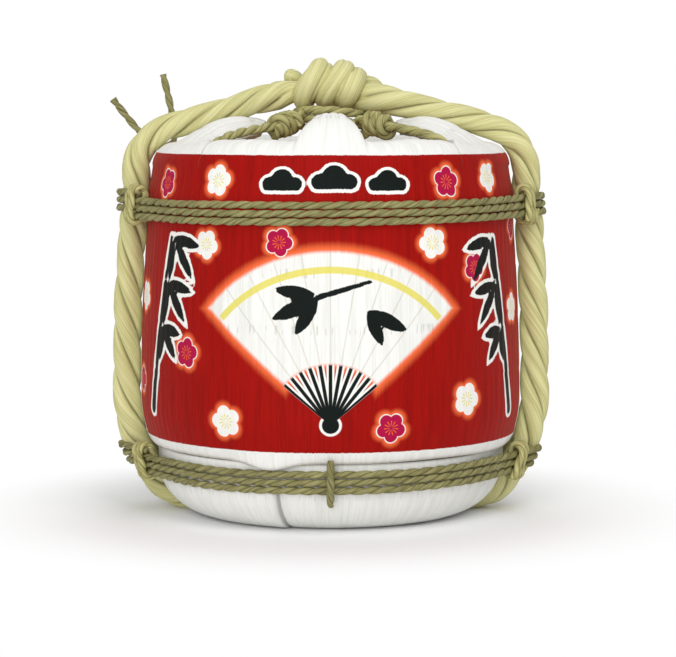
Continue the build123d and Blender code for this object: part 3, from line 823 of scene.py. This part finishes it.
# %% Hem loop and tie tails
loop_face = bottom_radius + 3 * cord_clearance + 3 * cord_radius
loop_reach = turn_pitch * ring_turns / 2 + 2 * cord_radius
loop_top, loop_low = lower_ring_z + loop_reach - 1.2, lower_ring_z - loop_reach + 0.4
loop_mat = mat_radius(loop_top + 1.4) + cord_radius
loop_route = [
    (0, -loop_mat, loop_top + 1.8),
    (0, -loop_mat - 0.9, loop_top - 0.2),
    (0, -loop_face - 0.5, lower_ring_z),
    (0, -loop_face + 0.3, loop_low),
    (0, -bottom_radius - cord_clearance, loop_low - 1.8),
]
tail_size = np.array([17.6, 13.5, 22.0])
tail_shares = np.array([
    (-0.67, 1, 0.7), (-0.16, 0.98, 0.165), (0.16, 0.985, 0.1), (0.33, 1.02, 0.25), (0.09, 1.11, 1),
])
tail_route = tail_shares * tail_size + (-shoulder_x, 0, cask_top_z)
for name, node, points, seed in (
    ("hem_loop_cord", "hem_loop", loop_route, 101), ("tie_tail_cord", "tie_tails", tail_route, 111)
):
    line = smooth_line(points, wrap_step)
    laid_piece(name, node, [line], cord_straw, "straw_cord", seed, **cord_shape)

# %% [markdown]
# ## The straw mats
# A mat is one sheet: a wall from the hem up to the shoulder, and above it four leaves divided by
# slits. The front and back leaves roll in over the rim, each with a raised tongue in the middle.
# The side leaves rise under the rope and narrow to a tip. The sheet is a grid of angle and height,
# its relief is the bundles of straw and the rows of stitches, and Solidify gives it the mat's
# thickness.


# %% Straw relief
bundle_width, stitch_step, stitch_first = 2.6, 14.0, 24.0
wall_depth, leaf_depth, base_depth = 0.13, 0.28, 0.12
bundle_wander, wander_across, wander_along = 0.30, 6.0, 22.0
stitch_nip, stitch_width = 0.7, 0.8
bulge_out, bulge_z, bulge_spread = 0.7, 83.0, 4.5


def bundle_relief(across, along, depth):
    """Height of the straw: rounded bundles side by side, nipped in at each row of stitches."""
    wander = ripple(across / wander_across, along / wander_along, seed=5)
    phase = across / bundle_width + bundle_wander * wander
    ridges = -depth * (1 - np.abs(np.sin(np.pi * phase))) ** 1.5
    row = (along - stitch_first + stitch_step / 2) % stitch_step - stitch_step / 2
    return ridges - stitch_nip * depth * bell(row, 0, stitch_width)


def shoulder_bulge(height):
    """How far the mat is pushed out above the upper ring: a bell curve over the height."""
    return bulge_out * bell(height, bulge_z, bulge_spread)


def polar(radius, angle, height):
    """Points from radius, angle and height: angle 0 is the front, and grows to the right."""
    return np.stack([radius * np.sin(angle), -radius * np.cos(angle), height], -1)


# %% Body mat: the wall
girth_radius, wall_rows = 49.0, 80
fold_angle, fold_width, fold_drop, fold_out, fold_reach = -0.33, 0.14, 1.8, 2.0, 3.5
hem_wave, hem_rate, hem_tuck, hem_reach = 0.35, 6.0, 0.9, 0.8
wall_wave, wave_across, wave_up = 0.30, 16.0, 26.0
spans = [(-180, -135, 28), (-135, -100, 22), (-100, -45, 67), (-45, 45, 110)]
spans += [(45, 100, 67), (100, 135, 22), (135, 180, 28)]
degrees = np.concatenate([np.linspace(a, b, n, endpoint=False) for a, b, n in spans])
angles = np.radians(degrees)
round_angles = np.concatenate([angles, angles + 2 * np.pi])
columns = len(angles)
hem_fold = bell(angles, fold_angle, fold_width)
hem_line = hem_z + hem_wave * ripple(angles * hem_rate, 0 * angles, seed=3) - fold_drop * hem_fold
above = (bend_z - hem_line)[:, None] * np.linspace(0, 1, wall_rows + 1)
wall_height = hem_line[:, None] + above
across = np.broadcast_to((angles * girth_radius)[:, None], wall_height.shape)
wall_r = mat_radius(wall_height)
wall_r += wall_wave * ripple(across / wave_across, wall_height / wave_up, seed=2)
wall_r += fold_out * hem_fold[:, None] * np.exp(-above / fold_reach)
wall_r -= hem_tuck * np.exp(-above / hem_reach)
wall_r += bundle_relief(across, wall_height, wall_depth) + shoulder_bulge(wall_height)
wall_points = polar(wall_r, angles[:, None], wall_height)
wall_index = np.arange(across.size).reshape(across.shape)
wall_quads = grid_quads(
    np.r_[wall_index, wall_index[:1]],
    np.append(angles, -angles[0])[:, None] * girth_radius,
    np.r_[wall_height, wall_height[:1]],
)
mat_parts = [(wall_points.reshape(-1, 3), *wall_quads, across.ravel(), wall_height.ravel())]
print("mat wall", columns, "columns", wall_rows, "rows")

# %% [markdown]
# Each leaf starts on the wall's own top row, so that no seam shows, and goes on in two stretches:
# up round the shoulder in a quarter ellipse, and then inward. Neighbouring leaves meet along the
# lower shoulder. Above it a slit opens as each leaf's columns are drawn a little to its middle.

# %% Body mat: shapes of the leaves
shoulder_rows, leaf_rows = 14, 20
slit_open, slit_from, slit_near, slit_half = 0.085, 0.66, 0.75, np.radians(45)
shoulder_share = np.linspace(0, 1, shoulder_rows + 1)[1:]
leaf_share = np.linspace(0, 1, leaf_rows + 1)[1:]
slit_start = np.clip((shoulder_share - slit_from) / (1 - slit_from), 0, 1) ** 0.8
leaf_depths = leaf_depth * np.append(np.linspace(0, 1, shoulder_rows) ** 2, np.ones(leaf_rows))
tongue_half, tongue_radius, tongue_z = 8.2, 34.0, cask_top_z + 12.2
flap_crest_z, flap_ridge, flap_droop = cask_top_z + 4.2, 3.6, 2.0
flap_tip_x, flap_tip_half, flap_tip_z = 17.3, 8.5, cask_top_z + 9.7
lump_height, lump_width, mouth_gap, mouth_sag, leaf_squeeze = 0.35, 3.2, 1.0, 0.4, 0.75


def slit_nearness(off):
    """Growing from 0 well inside a leaf to 1 at its slits."""
    return np.clip((np.abs(off) / slit_half - slit_near) / (1 - slit_near), 0, 1)


def rise_and_fold(angle, crest_r, crest_z):
    """First stretch of a leaf: quarter ellipse from the wall's top to the crest."""
    turn = shoulder_share * np.pi / 2
    start = mat_radius(bend_z) + shoulder_bulge(bend_z)
    radius = crest_r + (start - crest_r) * np.cos(turn)
    return polar(radius, angle, bend_z + (crest_z - bend_z) * np.sin(turn))


def roll_leaf(angle, middle):
    """Front or back leaf: rolls over the rim and down to the mouth, with a tongue in the middle."""
    off = (angle - middle)[:, None]
    bent = middle + off * (1 - slit_open * np.append(slit_start, np.ones(leaf_rows)))
    raised = np.clip(1 - (np.abs(crest_radius * np.sin(off)) / tongue_half) ** 3, 0, 1) ** 0.5
    lumps = lump_height * ripple(off * crest_radius / lump_width, 0 * off, seed=9)
    lumps *= 1 - slit_nearness(off)
    crest_r = crest_radius + (tongue_radius - crest_radius) * raised
    crest_z = rim_z + lumps + (tongue_z - rim_z) * raised
    first = rise_and_fold(bent[:, :shoulder_rows], crest_r, crest_z)
    radius = crest_r + (mouth_radius + mouth_gap - crest_r) * leaf_share
    drop = (1 - np.cos(np.pi * leaf_share)) / 2
    height = crest_z + (fold_top_z - mouth_sag - crest_z) * drop
    return np.concatenate([first, polar(radius, bent[:, shoulder_rows:], height)], 1)


def flap_leaf(angle, middle):
    """Side leaf: over the shoulder, then up under the rope to a narrow tip with ridged sides."""
    off = (angle - middle)[:, None]
    side = np.sign(np.sin(middle))
    place = side * off / slit_half
    crest_z = flap_crest_z + (rim_z - flap_crest_z) * slit_nearness(off)
    first = rise_and_fold(
        middle + off * (1 - slit_open * slit_start), crest_radius + 0 * off, crest_z
    )
    root, level = first[:, -1:, :], 0 * off
    tip = np.stack([level + side * flap_tip_x, place * flap_tip_half, level + flap_tip_z], -1)
    leaf = root + (tip - root) * leaf_share[None, :, None]
    leaf[..., 2] += flap_ridge * np.sin(np.pi * leaf_share) ** 0.9 * np.sin(np.pi * np.abs(place))
    leaf[..., 2] -= flap_droop * np.abs(place) ** 7 * np.minimum(4 * leaf_share, 1)
    return np.concatenate([first, leaf], 1)


# %% Body mat: hanging the leaves
for shape, middle in ((roll_leaf, 0), (flap_leaf, 90), (roll_leaf, 180), (flap_leaf, -90)):
    ends = np.radians([[middle - 45], [middle + 45]])
    first, last = np.argmin(np.abs(round_angles - ends), axis=1)
    pick = np.arange(first, last + 1)
    angle = round_angles[pick]
    leaf = shape(angle, np.radians(middle))
    with_top = np.concatenate([wall_points[pick % columns, -1:], leaf], 1)
    steps = np.linalg.norm(np.diff(with_top, axis=1), axis=-1)
    along = bend_z + np.cumsum(steps, axis=1)
    leaf_across = np.broadcast_to((angle * girth_radius)[:, None], along.shape)
    relief = bundle_relief(leaf_across * leaf_squeeze, along, leaf_depths)
    leaf = leaf + grid_normals(leaf) * relief[..., None]
    index = sum(len(part[0]) for part in mat_parts) + np.arange(along.size).reshape(along.shape)
    leaf_quads = grid_quads(
        np.c_[wall_index[pick % columns, -1], index],
        angle[:, None] * girth_radius,
        np.insert(along, 0, bend_z, axis=1),
    )
    mat_parts.append((leaf.reshape(-1, 3), *leaf_quads, leaf_across.ravel(), along.ravel()))
mat_points, mat_quads, mat_flat, print_s, print_z = (np.concatenate(p) for p in zip(*mat_parts))
print("mat points", len(mat_points))

# %% [markdown]
# ## The print on the mat
# The front of the mat is printed red with plum blossoms, an open fan and sprigs of bamboo and pine
# in ink. A print is a set of shapes on the flat map. Shapes with an easy formula, such as the red
# field and the fan, are worked out in the material. Drawn shapes become a number at each mesh
# point: how far inside the ink the point is, in millimetres. Between points that number changes
# evenly, so the edge where it is zero stays sharp. Each blossom gives the points near it their
# place on the flower.


# %% Ink shapes
def stroke(s, z, start, end, first, last):
    """Inside distance of a brush stroke: a line whose half width goes from first to last."""
    way = np.array(end) - np.array(start)
    share = np.clip(((s - start[0]) * way[0] + (z - start[1]) * way[1]) / (way @ way), 0, 1)
    far = np.hypot(s - start[0] - share * way[0], z - start[1] - share * way[1])
    return first + (last - first) * share - far


def blade(s, z, root, turn, length, width):
    """Inside distance of a leaf: where two equal circles overlap, turned about its root."""
    turn = np.radians(turn)
    x = (s - root[0]) * np.cos(turn) + (z - root[1]) * np.sin(turn) - length / 2
    y = (z - root[1]) * np.cos(turn) - (s - root[0]) * np.sin(turn)
    circle = (length**2 / 4 + width**2) / (2 * width)
    return circle - np.maximum(np.hypot(x, y - circle + width), np.hypot(x, y + circle - width))


def bamboo(s, z, foot, lean, side):
    """Inside distance of a bamboo sprig: four joints of stem and three sprays of leaves."""
    joints = np.array([(foot[0] + lean * k, foot[1] + 11.5 * k) for k in range(5)])
    gap = np.array([0.06 * lean, 0.7])
    ink = []
    for k, thick in enumerate((1.15, 1.02, 0.89, 0.76)):
        ink.append(stroke(s, z, joints[k] + gap, joints[k + 1] - gap, thick, thick - 0.12))
    for k, reach in ((2, 0.8), (3, 1.0), (4, 1.05)):
        root = joints[k] + (side * 1.2, -0.5)
        for turn, length in ((-12, 10.5), (-52, 13.0), (-98, 11.0)):
            turn = turn if side > 0 else 180 - turn
            ink.append(blade(s, z, root, turn, length * reach, 1.45))
    return np.maximum.reduce(ink)


def pine(s, z, middle, size):
    """Inside distance of a pine crown: three rounded clouds over a flat foot."""
    x, y = (s - middle[0]) / size, (z - middle[1]) / size
    ink = [stroke(x, y, (-1.2, -0.2), (1.2, -0.2), 0.3, 0.3)]
    for cloud_x, cloud_y, radius in ((-0.95, 0.0, 0.62), (0.0, 0.42, 0.80), (0.95, 0.0, 0.62)):
        ink.append(radius - np.hypot(x - cloud_x, (y - cloud_y) * 1.25))
    return size * np.maximum.reduce(ink)


# %% Ink and blossoms at the mesh points
drawn = [
    (bamboo, (-56.0, 28.5), 2.0, 1),
    (bamboo, (57.0, 28.0), -1.8, -1),
    (pine, (-12.5, 88.0), 3.4),
    (pine, (1.0, 88.6), 3.8),
    (pine, (14.8, 87.9), 3.3),
    (blade, (-3.0, 60.0), 205, 13.0, 1.9),
    (blade, (-3.0, 60.0), 238, 11.0, 1.7),
    (blade, (-3.0, 60.5), 172, 11.5, 1.7),
    (blade, (9.0, 57.0), -28, 12.0, 1.8),
    (blade, (9.0, 57.0), -66, 10.0, 1.6),
    (stroke, (-3.0, 60.2), (10.0, 64.0), 0.8, 0.5),
]
ink_inside = np.maximum.reduce([shape(print_s, print_z, *places) for shape, *places in drawn])
white_blossoms = [(-31, 88.6, 3.7, 0.2), (27, 73.2, 3.7, 0.9), (-34, 72.5, 3.5, 0.5)]
white_blossoms += [(61, 55, 3.6, 0.1), (-64, 58, 3.7, 0.7), (37, 33.5, 3.9, 0.4)]
white_blossoms += [(-27, 28.6, 3.8, 1.0), (49, 89, 3.6, 0.6)]
pink_blossoms = [(32, 88.2, 3.8, 0.1), (-52, 87.5, 3.6, 0.8), (41, 66.5, 3.6, 0.5)]
pink_blossoms += [(-40, 45, 3.8, 0.2), (15, 27.6, 3.7, 0.6), (-66, 36, 3.5, 0.3)]
pink_blossoms += [(65, 76, 3.6, 0.9), (-13, 73.6, 3.5, 0.4)]
flowers = np.array(white_blossoms + pink_blossoms)
far = np.hypot(print_s[:, None] - flowers[:, 0], print_z[:, None] - flowers[:, 1]) / flowers[:, 2]
nearest = np.argmin(far, 1)
flower_s, flower_z, flower_size, turn = flowers[nearest].T
x, y = (print_s - flower_s) / flower_size, (print_z - flower_z) / flower_size
pink = (nearest >= len(white_blossoms)).astype(float)
cos, sin = np.cos(turn), np.sin(turn)
print_values = {
    "ink_inside": ink_inside,
    "flower_near": far.min(1),
    "flower_place": np.stack([x * cos - y * sin, x * sin + y * cos, pink], 1),
}
print("ink points", int((ink_inside > 0).sum()), "flowers", len(flowers))

# %% [markdown]
# The material lays the print over the straw from the bottom up: red field, glow, white shapes, fan,
# blossoms, ink. The lines of the straw disturb the edges of field, fan and ink, as they do when a
# soft mat is printed.

# %% Colours and places of the print
field_half, field_low, field_high = (69.0, 77.5), 21.4, 95.1
fan_z, fan_inner, fan_outer = 28.5, 15.0, 43.0
fan_half, fan_step = np.radians(49), np.radians(9.8)
rib_ends, rib_edge_ends = (0.52, 0.38), (1.05, 0.85)
pivot_ends, pivot_edge_ends = (2.2, 2.0), (2.9, 2.6)
band_start, band_stop, band_sides, band_share = (37.4, 37.7), (39.4, 39.1), (0.6, 1.0), 0.85
petal_middle, petal_radius, petal_turn, stamens = 0.56, 0.44, 2 * np.pi / 5, 11.0
slit_stretch, speck_stretch, by_stitch = (1.3, 0.16, 0.0), (1.7, 0.9, 0.0), (1.5, 0.7)
straw_white, straw_grey, gap_brown = (0.82, 0.82, 0.79), (0.70, 0.70, 0.66), (0.20, 0.19, 0.16)
print_red, deep_red, sheen_red = (0.33, 0.004, 0.002), (0.21, 0.003, 0.002), (1.0, 0.55, 0.42)
glow_orange, print_white, fold_brown = (0.83, 0.145, 0.045), (0.83, 0.82, 0.78), (0.42, 0.36, 0.28)
ink_black, blossom_pink = (0.006, 0.010, 0.009), (0.40, 0.006, 0.055)
stamen_yellow, stamen_orange = (0.70, 0.62, 0.06), (0.78, 0.13, 0.02)


def plain_straw_colour(wires, flat, shade, darkness):
    """White straw: pale blades, grey lines between them, a few dark slits near the stitches."""
    base = wires.mix(shade.span(0.0, 1.0, 0.30, 1.0), straw_grey, straw_white)
    slits = wires.noise(wires.scaled(flat, slit_stretch), 1.0).step(0.56, 0.64)
    specks = wires.noise(wires.scaled(flat, speck_stretch), 1.0).step(0.76, 0.82)
    _, along, _ = wires.split(flat)
    row = abs((along - (stitch_first - stitch_step / 2)) % stitch_step - stitch_step / 2)
    dark = (slits * row.step(*by_stitch)).most(specks)
    return wires.mix(dark * darkness, base, gap_brown)


def blossom_layers(wires):
    """Flower, white rim, glow, stamens and whether it is pink, from the place on the flower.

    Each petal is a circle. Its far edge at an angle a from the petal's middle lies at
    m cos a + sqrt(r^2 - (m sin a)^2), with m the distance of the circle's middle and r its radius.
    """
    x, y, pink = wires.split(wires.attribute("flower_place", "Vector"))
    radius, turn = (x * x + y * y).root(), x.arctan(y)
    petal = (turn + petal_turn / 2) % petal_turn - petal_turn / 2
    wave = petal.sine() * petal_middle
    edge = petal.cosine() * petal_middle + (petal_radius**2 - wave * wave).root()
    outside, close = radius - edge, wires.attribute("flower_near").step(1.9, 1.6)
    reaches = ((0.03, -0.03), (0.10, 0.05), (0.55, 0.02))
    flower, rim, glow = (outside.step(*reach) * close for reach in reaches)
    rays = (turn * stamens).cosine().step(0.45, 0.70)
    stamen = rays * radius.step(0.10, 0.14) * radius.step(0.52, 0.46) * flower
    return flower, rim, glow, stamen, pink


def fan_layers(s, z, ragged):
    """Leaf of the fan, its glow, creases and band, and its ribs with their white edge."""
    up = z - fan_z
    reach, angle = (s * s + up * up).root(), s.arctan(up)
    to_side = (fan_half - abs(angle)) * reach
    leaf = (fan_outer - reach).least(reach - fan_inner).least(to_side) + ragged
    fold = (angle + fan_half) % fan_step
    fold_far = fold.least(fan_step - fold) * reach
    in_span = abs(angle).step(fan_half + 0.03, fan_half + 0.01)
    ribbed = reach.step(fan_inner + 0.4, fan_inner - 0.2) * in_span
    ribs = (fold_far.step(*rib_ends) * ribbed).most(reach.step(*pivot_ends))
    rib_edges = (fold_far.step(*rib_edge_ends) * ribbed).most(reach.step(*pivot_edge_ends))
    band = reach.step(*band_start) * reach.step(*band_stop) * to_side.step(*band_sides) * band_share
    fan, glow = leaf.step(-0.55, 0.75), leaf.step(-2.9, -0.1)
    return fan, glow, fold_far.step(0.30, 0.05) * 0.35 * fan, band, ribs, rib_edges


# %% Printed straw
def mat_material():
    """Printed straw mat: each layer is mixed over the ones below it by its own share."""
    material, wires, shader = new_material("printed_straw", 0.72, 0.06)
    flat, height, shade = straw(wires, 0.42, 13.0)
    s, z, _ = wires.split(flat)
    ragged = (height - 0.5) * 0.7
    plain = plain_straw_colour(wires, flat, shade, 0.26)
    side_edge = z.span(field_low, field_high, *field_half)
    inside = (z - field_low).least(field_high - z).least(side_edge - abs(s))
    field = (inside + ragged).step(-0.08, 0.10)
    red = wires.mix(shade.span(0.0, 1.0, 0.35, 1.0), deep_red, print_red)
    flower, rim, flower_glow, stamen, pink = blossom_layers(wires)
    fan, fan_glow, crease, band, ribs, rib_edges = fan_layers(s, z, ragged)
    ink_far = wires.attribute("ink_inside") + ragged
    layers = red
    for share, paint in (
        (flower_glow.most(fan_glow), glow_orange),
        (rim.most(ink_far.step(-0.95, -0.75)), print_white),
        (fan, plain),
        (crease, fold_brown),
        (band, stamen_yellow),
        (rib_edges, print_white),
        (ribs, ink_black),
        (flower, wires.mix(pink, wires.mix(0.5, plain, print_white), blossom_pink)),
        (stamen, wires.mix(pink, stamen_yellow, stamen_orange)),
        (ink_far.step(-0.06, 0.10), ink_black),
    ):
        layers = wires.mix(share, layers, paint)
    wires.dress(shader, {
        "Base Color": wires.mix(field, plain, layers),
        "Roughness": field.span(0.0, 1.0, 0.80, 0.58),
        "Sheen Weight": 0.08,
        "Sheen Roughness": 0.45,
        "Sheen Tint": sheen_red,
    })
    bump(wires, shader, height, 0.00013)
    return material


body_mat = new_piece(
    "body_mat_straw", mat_points, mat_quads, mat_flat, mat_material(),
    values=print_values,
)
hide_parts("body_mat")
thickness = body_mat.modifiers.new("thickness", "SOLIDIFY")
thickness.thickness = mat_thickness * MM
thickness.offset = -1.0

# %% [markdown]
# ## The bottom mat
# A second, round mat is gathered under the base. Its outside is a short wall that curves in to the
# foot; underneath it is drawn together in pleats. The profile is a closed loop carried round the
# axis, so the piece has a skin on every side. At a seam near the front one edge laps over the
# other. Where the rope passes, the straw gives way to it.


# %% Bottom mat: its outline
def arc_through(points):
    """Centre and radius of the circle through three (radius, height) points, from two chords."""
    first, second, third = np.array(points)
    chords = np.array([second - first, third - first])
    squares = np.array([second @ second - first @ first, third @ third - first @ first])
    centre = np.linalg.solve(chords, 0.5 * squares)
    return centre, np.linalg.norm(first - centre)


def run(start, end, count):
    """Evenly spaced (radius, height) points after start, up to end."""
    share = np.linspace(0, 1, count + 1)[1:, None]
    return np.array(start) + (np.array(end) - np.array(start)) * share


hem_lap, wall_end, foot_inset, foot_lift, foot_mouth = 0.3, 2.0, 3.3, 1.8, 5.0
run_counts, foot_count = (3, 7, 1, 22, 5, 10, 3), 24
wall_top_z, wall_low_z = hem_z - hem_lap, lower_ring_z - wall_end
under_z = cask_base_z - mat_slack
inner_wall = bottom_radius - mat_thickness
foot_ends = (bottom_radius, wall_low_z), (foot_radius, 0.0)
foot_middle, foot_arc = arc_through([
    foot_ends[0], (bottom_radius - foot_inset, floor_rope_z + foot_lift), foot_ends[1],
])
foot_turns = [np.arctan2(z - foot_middle[1], r - foot_middle[0]) for r, z in foot_ends]
foot_turn = np.linspace(*foot_turns, foot_count + 1)[1:]
corners = [
    (inner_wall, wall_top_z), (bottom_radius, wall_top_z), foot_ends[0], foot_ends[1],
    (foot_mouth, 0.0), (foot_mouth, under_z), (inner_wall, under_z), (inner_wall, wall_top_z),
]
outline = [run(a, b, n) for a, b, n in zip(corners, corners[1:], run_counts)]
outline[2] = foot_middle + foot_arc * np.stack([np.cos(foot_turn), np.sin(foot_turn)], 1)
outline = np.concatenate(outline)
outline_length = line_steps(outline)
print("outline points", len(outline))

# %% Bottom mat: its surface
skin = slice(2, 34)
around, pleats, pleat_half, pleat_depth, pleat_fade = 400, 14, 1.1, 1.3, 6.0
base_shift, base_wave, wave_length, ring_hold, groove_drop = 40.0, 0.25, 9.0, 4.0, 3.0
under_level, under_margin = 0.6, 2.0
seam_angle, seam_step, seam_width = np.radians(-18.0), 1.7, np.radians(45)
# The last colour is for a painted shadow: a thin dark line along the seam where one edge laps over
# the other.
seam_groove, groove_width, seam_shadow_colour = 1.0, 0.016, (0.12, 0.11, 0.08)
bottom_angles = np.radians(np.linspace(-180, 180, around, endpoint=False))
base_shape = (around, len(outline))
base_r, base_z = (np.broadcast_to(column, base_shape).copy() for column in outline.T)
base_across = np.broadcast_to((bottom_angles * bottom_radius)[:, None], base_shape)
base_along = np.broadcast_to(outline_length, base_shape)
relief = bundle_relief(base_across, base_along + base_shift, base_depth)
relief += base_wave * ripple(base_across / wave_length, base_along / wave_length, seed=21)
behind = ((seam_angle - bottom_angles) % (2 * np.pi))[:, None]
ahead = (bottom_angles - seam_angle)[:, None]
relief += seam_step * np.exp(-behind / seam_width) * (1 - bell(base_z, lower_ring_z, ring_hold))
below = base_z < lower_ring_z - groove_drop
relief -= seam_groove * bell(ahead, groove_width, groove_width) * below
base_r[:, skin] += relief[:, skin]
pleat_turn = (bottom_angles * pleats / (2 * np.pi)) % 1.0 - 0.5
groove = bell(pleat_turn[:, None] * 2 * np.pi / pleats * base_r, 0, pleat_half)
flat_under = (base_z < under_level) & (base_r < foot_radius + under_margin)
base_z += flat_under * pleat_depth * groove * np.clip((base_r - foot_mouth) / pleat_fade, 0, 1)
base_points = polar(base_r, bottom_angles[:, None], np.maximum(base_z, 0.0))


low_rope, inward_from, push_share, push_rounds = 30.0, 30.0, 0.8, 8


def make_way(points, line, room):
    """Points within room of the rope's line move up and in until they clear it."""
    near_rope = np.abs(points[..., 1]) < room
    moved = points[near_rope]
    close = line[line[:, 2] < low_rope]
    for _ in range(push_rounds):
        gap = np.linalg.norm(moved[:, None] - close[None], axis=-1).min(1)
        push = np.clip(room - gap, 0, None)[:, None]
        inward = -np.sign(moved[:, 0]) * (np.abs(moved[:, 0]) > inward_from)
        way = np.stack([inward, 0 * inward, np.ones(len(moved))], 1)
        moved = moved + push * way * push_share
    points[near_rope] = moved
    return points


base_points = make_way(base_points, rope_line[::2], rope_radius + rope_clearance)
base_index = np.pad(np.arange(base_r.size).reshape(base_shape), (0, 1), "wrap")
flat_across = np.append(base_across[:, 0], -base_across[0, 0])[:, None]
flat_along = np.append(outline_length, outline_length[-1] + 1.0)
base_quads, base_flat = grid_quads(base_index, flat_across, flat_along, turn=True)


# %% Bottom mat: bare straw
def bottom_material():
    """Bare straw: the printed mat's straw without the print, and a painted shadow line along the
    seam where one edge laps over the other.
    """
    material, wires, shader = new_material("plain_straw", 0.82, 0.2)
    flat, height, shade = straw(wires, 0.42, 11.0)
    plain = plain_straw_colour(wires, flat, shade, 0.10)
    s, along, _ = wires.split(flat)
    # Painted shadow: a thin dark line just beside the seam, from a little way up the outline.
    aside = abs(s - (seam_angle * bottom_radius + 0.6))
    seam = aside.step(0.55, 0.15) * along.step(8.0, 10.0) * 0.55
    wires.dress(shader, {"Base Color": wires.mix(seam, plain, seam_shadow_colour)})
    bump(wires, shader, height, 0.00012)
    return material


bottom_mat = new_piece(
    "bottom_mat_straw", base_points.reshape(-1, 3), base_quads, base_flat, bottom_material(),
)
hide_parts("bottom_mat")

# %% [markdown]
# ## Cedar and bamboo
# Through the mouth of the mat one sees the lid: three cedar boards and a bung. Their solids are
# right as they are and only need a finish. Cedar has narrow growth lines along the board, bamboo
# has long fibres round the hoop and a duller patch here and there.


# %% Wood materials
cedar_dark, cedar_light = (0.33, 0.17, 0.075), (0.60, 0.38, 0.20)
bamboo_dark, bamboo_light = (0.36, 0.30, 0.10), (0.62, 0.55, 0.26)
growth_lines, pore_scale = 60.0, 6.0


def cedar_material(name, stretch):
    """Cedar: growth lines from stretched noise through a sine, with fine pores on top."""
    material, wires, shader = new_material(name, 0.6, 0.25)
    grain = wires.scaled(wires.make("TexCoord", "Object"), stretch)
    lines = (wires.noise(grain, 3.0) * growth_lines).sine()
    pores = wires.noise(wires.scaled(grain, (pore_scale,) * 3))
    tone = (lines * 0.25 + pores * 0.8).clamped()
    wires.dress(shader, {"Base Color": wires.mix(tone, cedar_dark, cedar_light)})
    bump(wires, shader, tone, 0.00015)
    return material


def bamboo_material():
    """Split bamboo: long thin fibres round the hoop and slow changes of colour."""
    material, wires, shader = new_material("bamboo_hoop", 0.45, 0.4)
    place = wires.make("TexCoord", "Object")
    fibres = wires.noise(wires.scaled(place, (60.0, 60.0, 2600.0)))
    patches = wires.noise(wires.scaled(place, (40.0, 40.0, 10.0)))
    tone = (fibres * 0.6 + patches * 0.4).step(0.3, 0.7)
    wires.dress(shader, {"Base Color": wires.mix(tone, bamboo_dark, bamboo_light)})
    bump(wires, shader, fibres, 0.00012)
    return material


upright_cedar = cedar_material("cedar_stave", (260.0, 260.0, 22.0))
board_cedar = cedar_material("cedar_board", (260.0, 22.0, 260.0))
finishes = {"stave": upright_cedar, "bung": upright_cedar, "hoop": bamboo_material()}
for name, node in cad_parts.items():
    finish = next((m for key, m in finishes.items() if name.startswith(key)), board_cedar)
    if not node.hide_render:
        node.data.materials.clear()
        node.data.materials.append(finish)
print("wooden nodes", sum(not n.hide_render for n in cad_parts.values()))
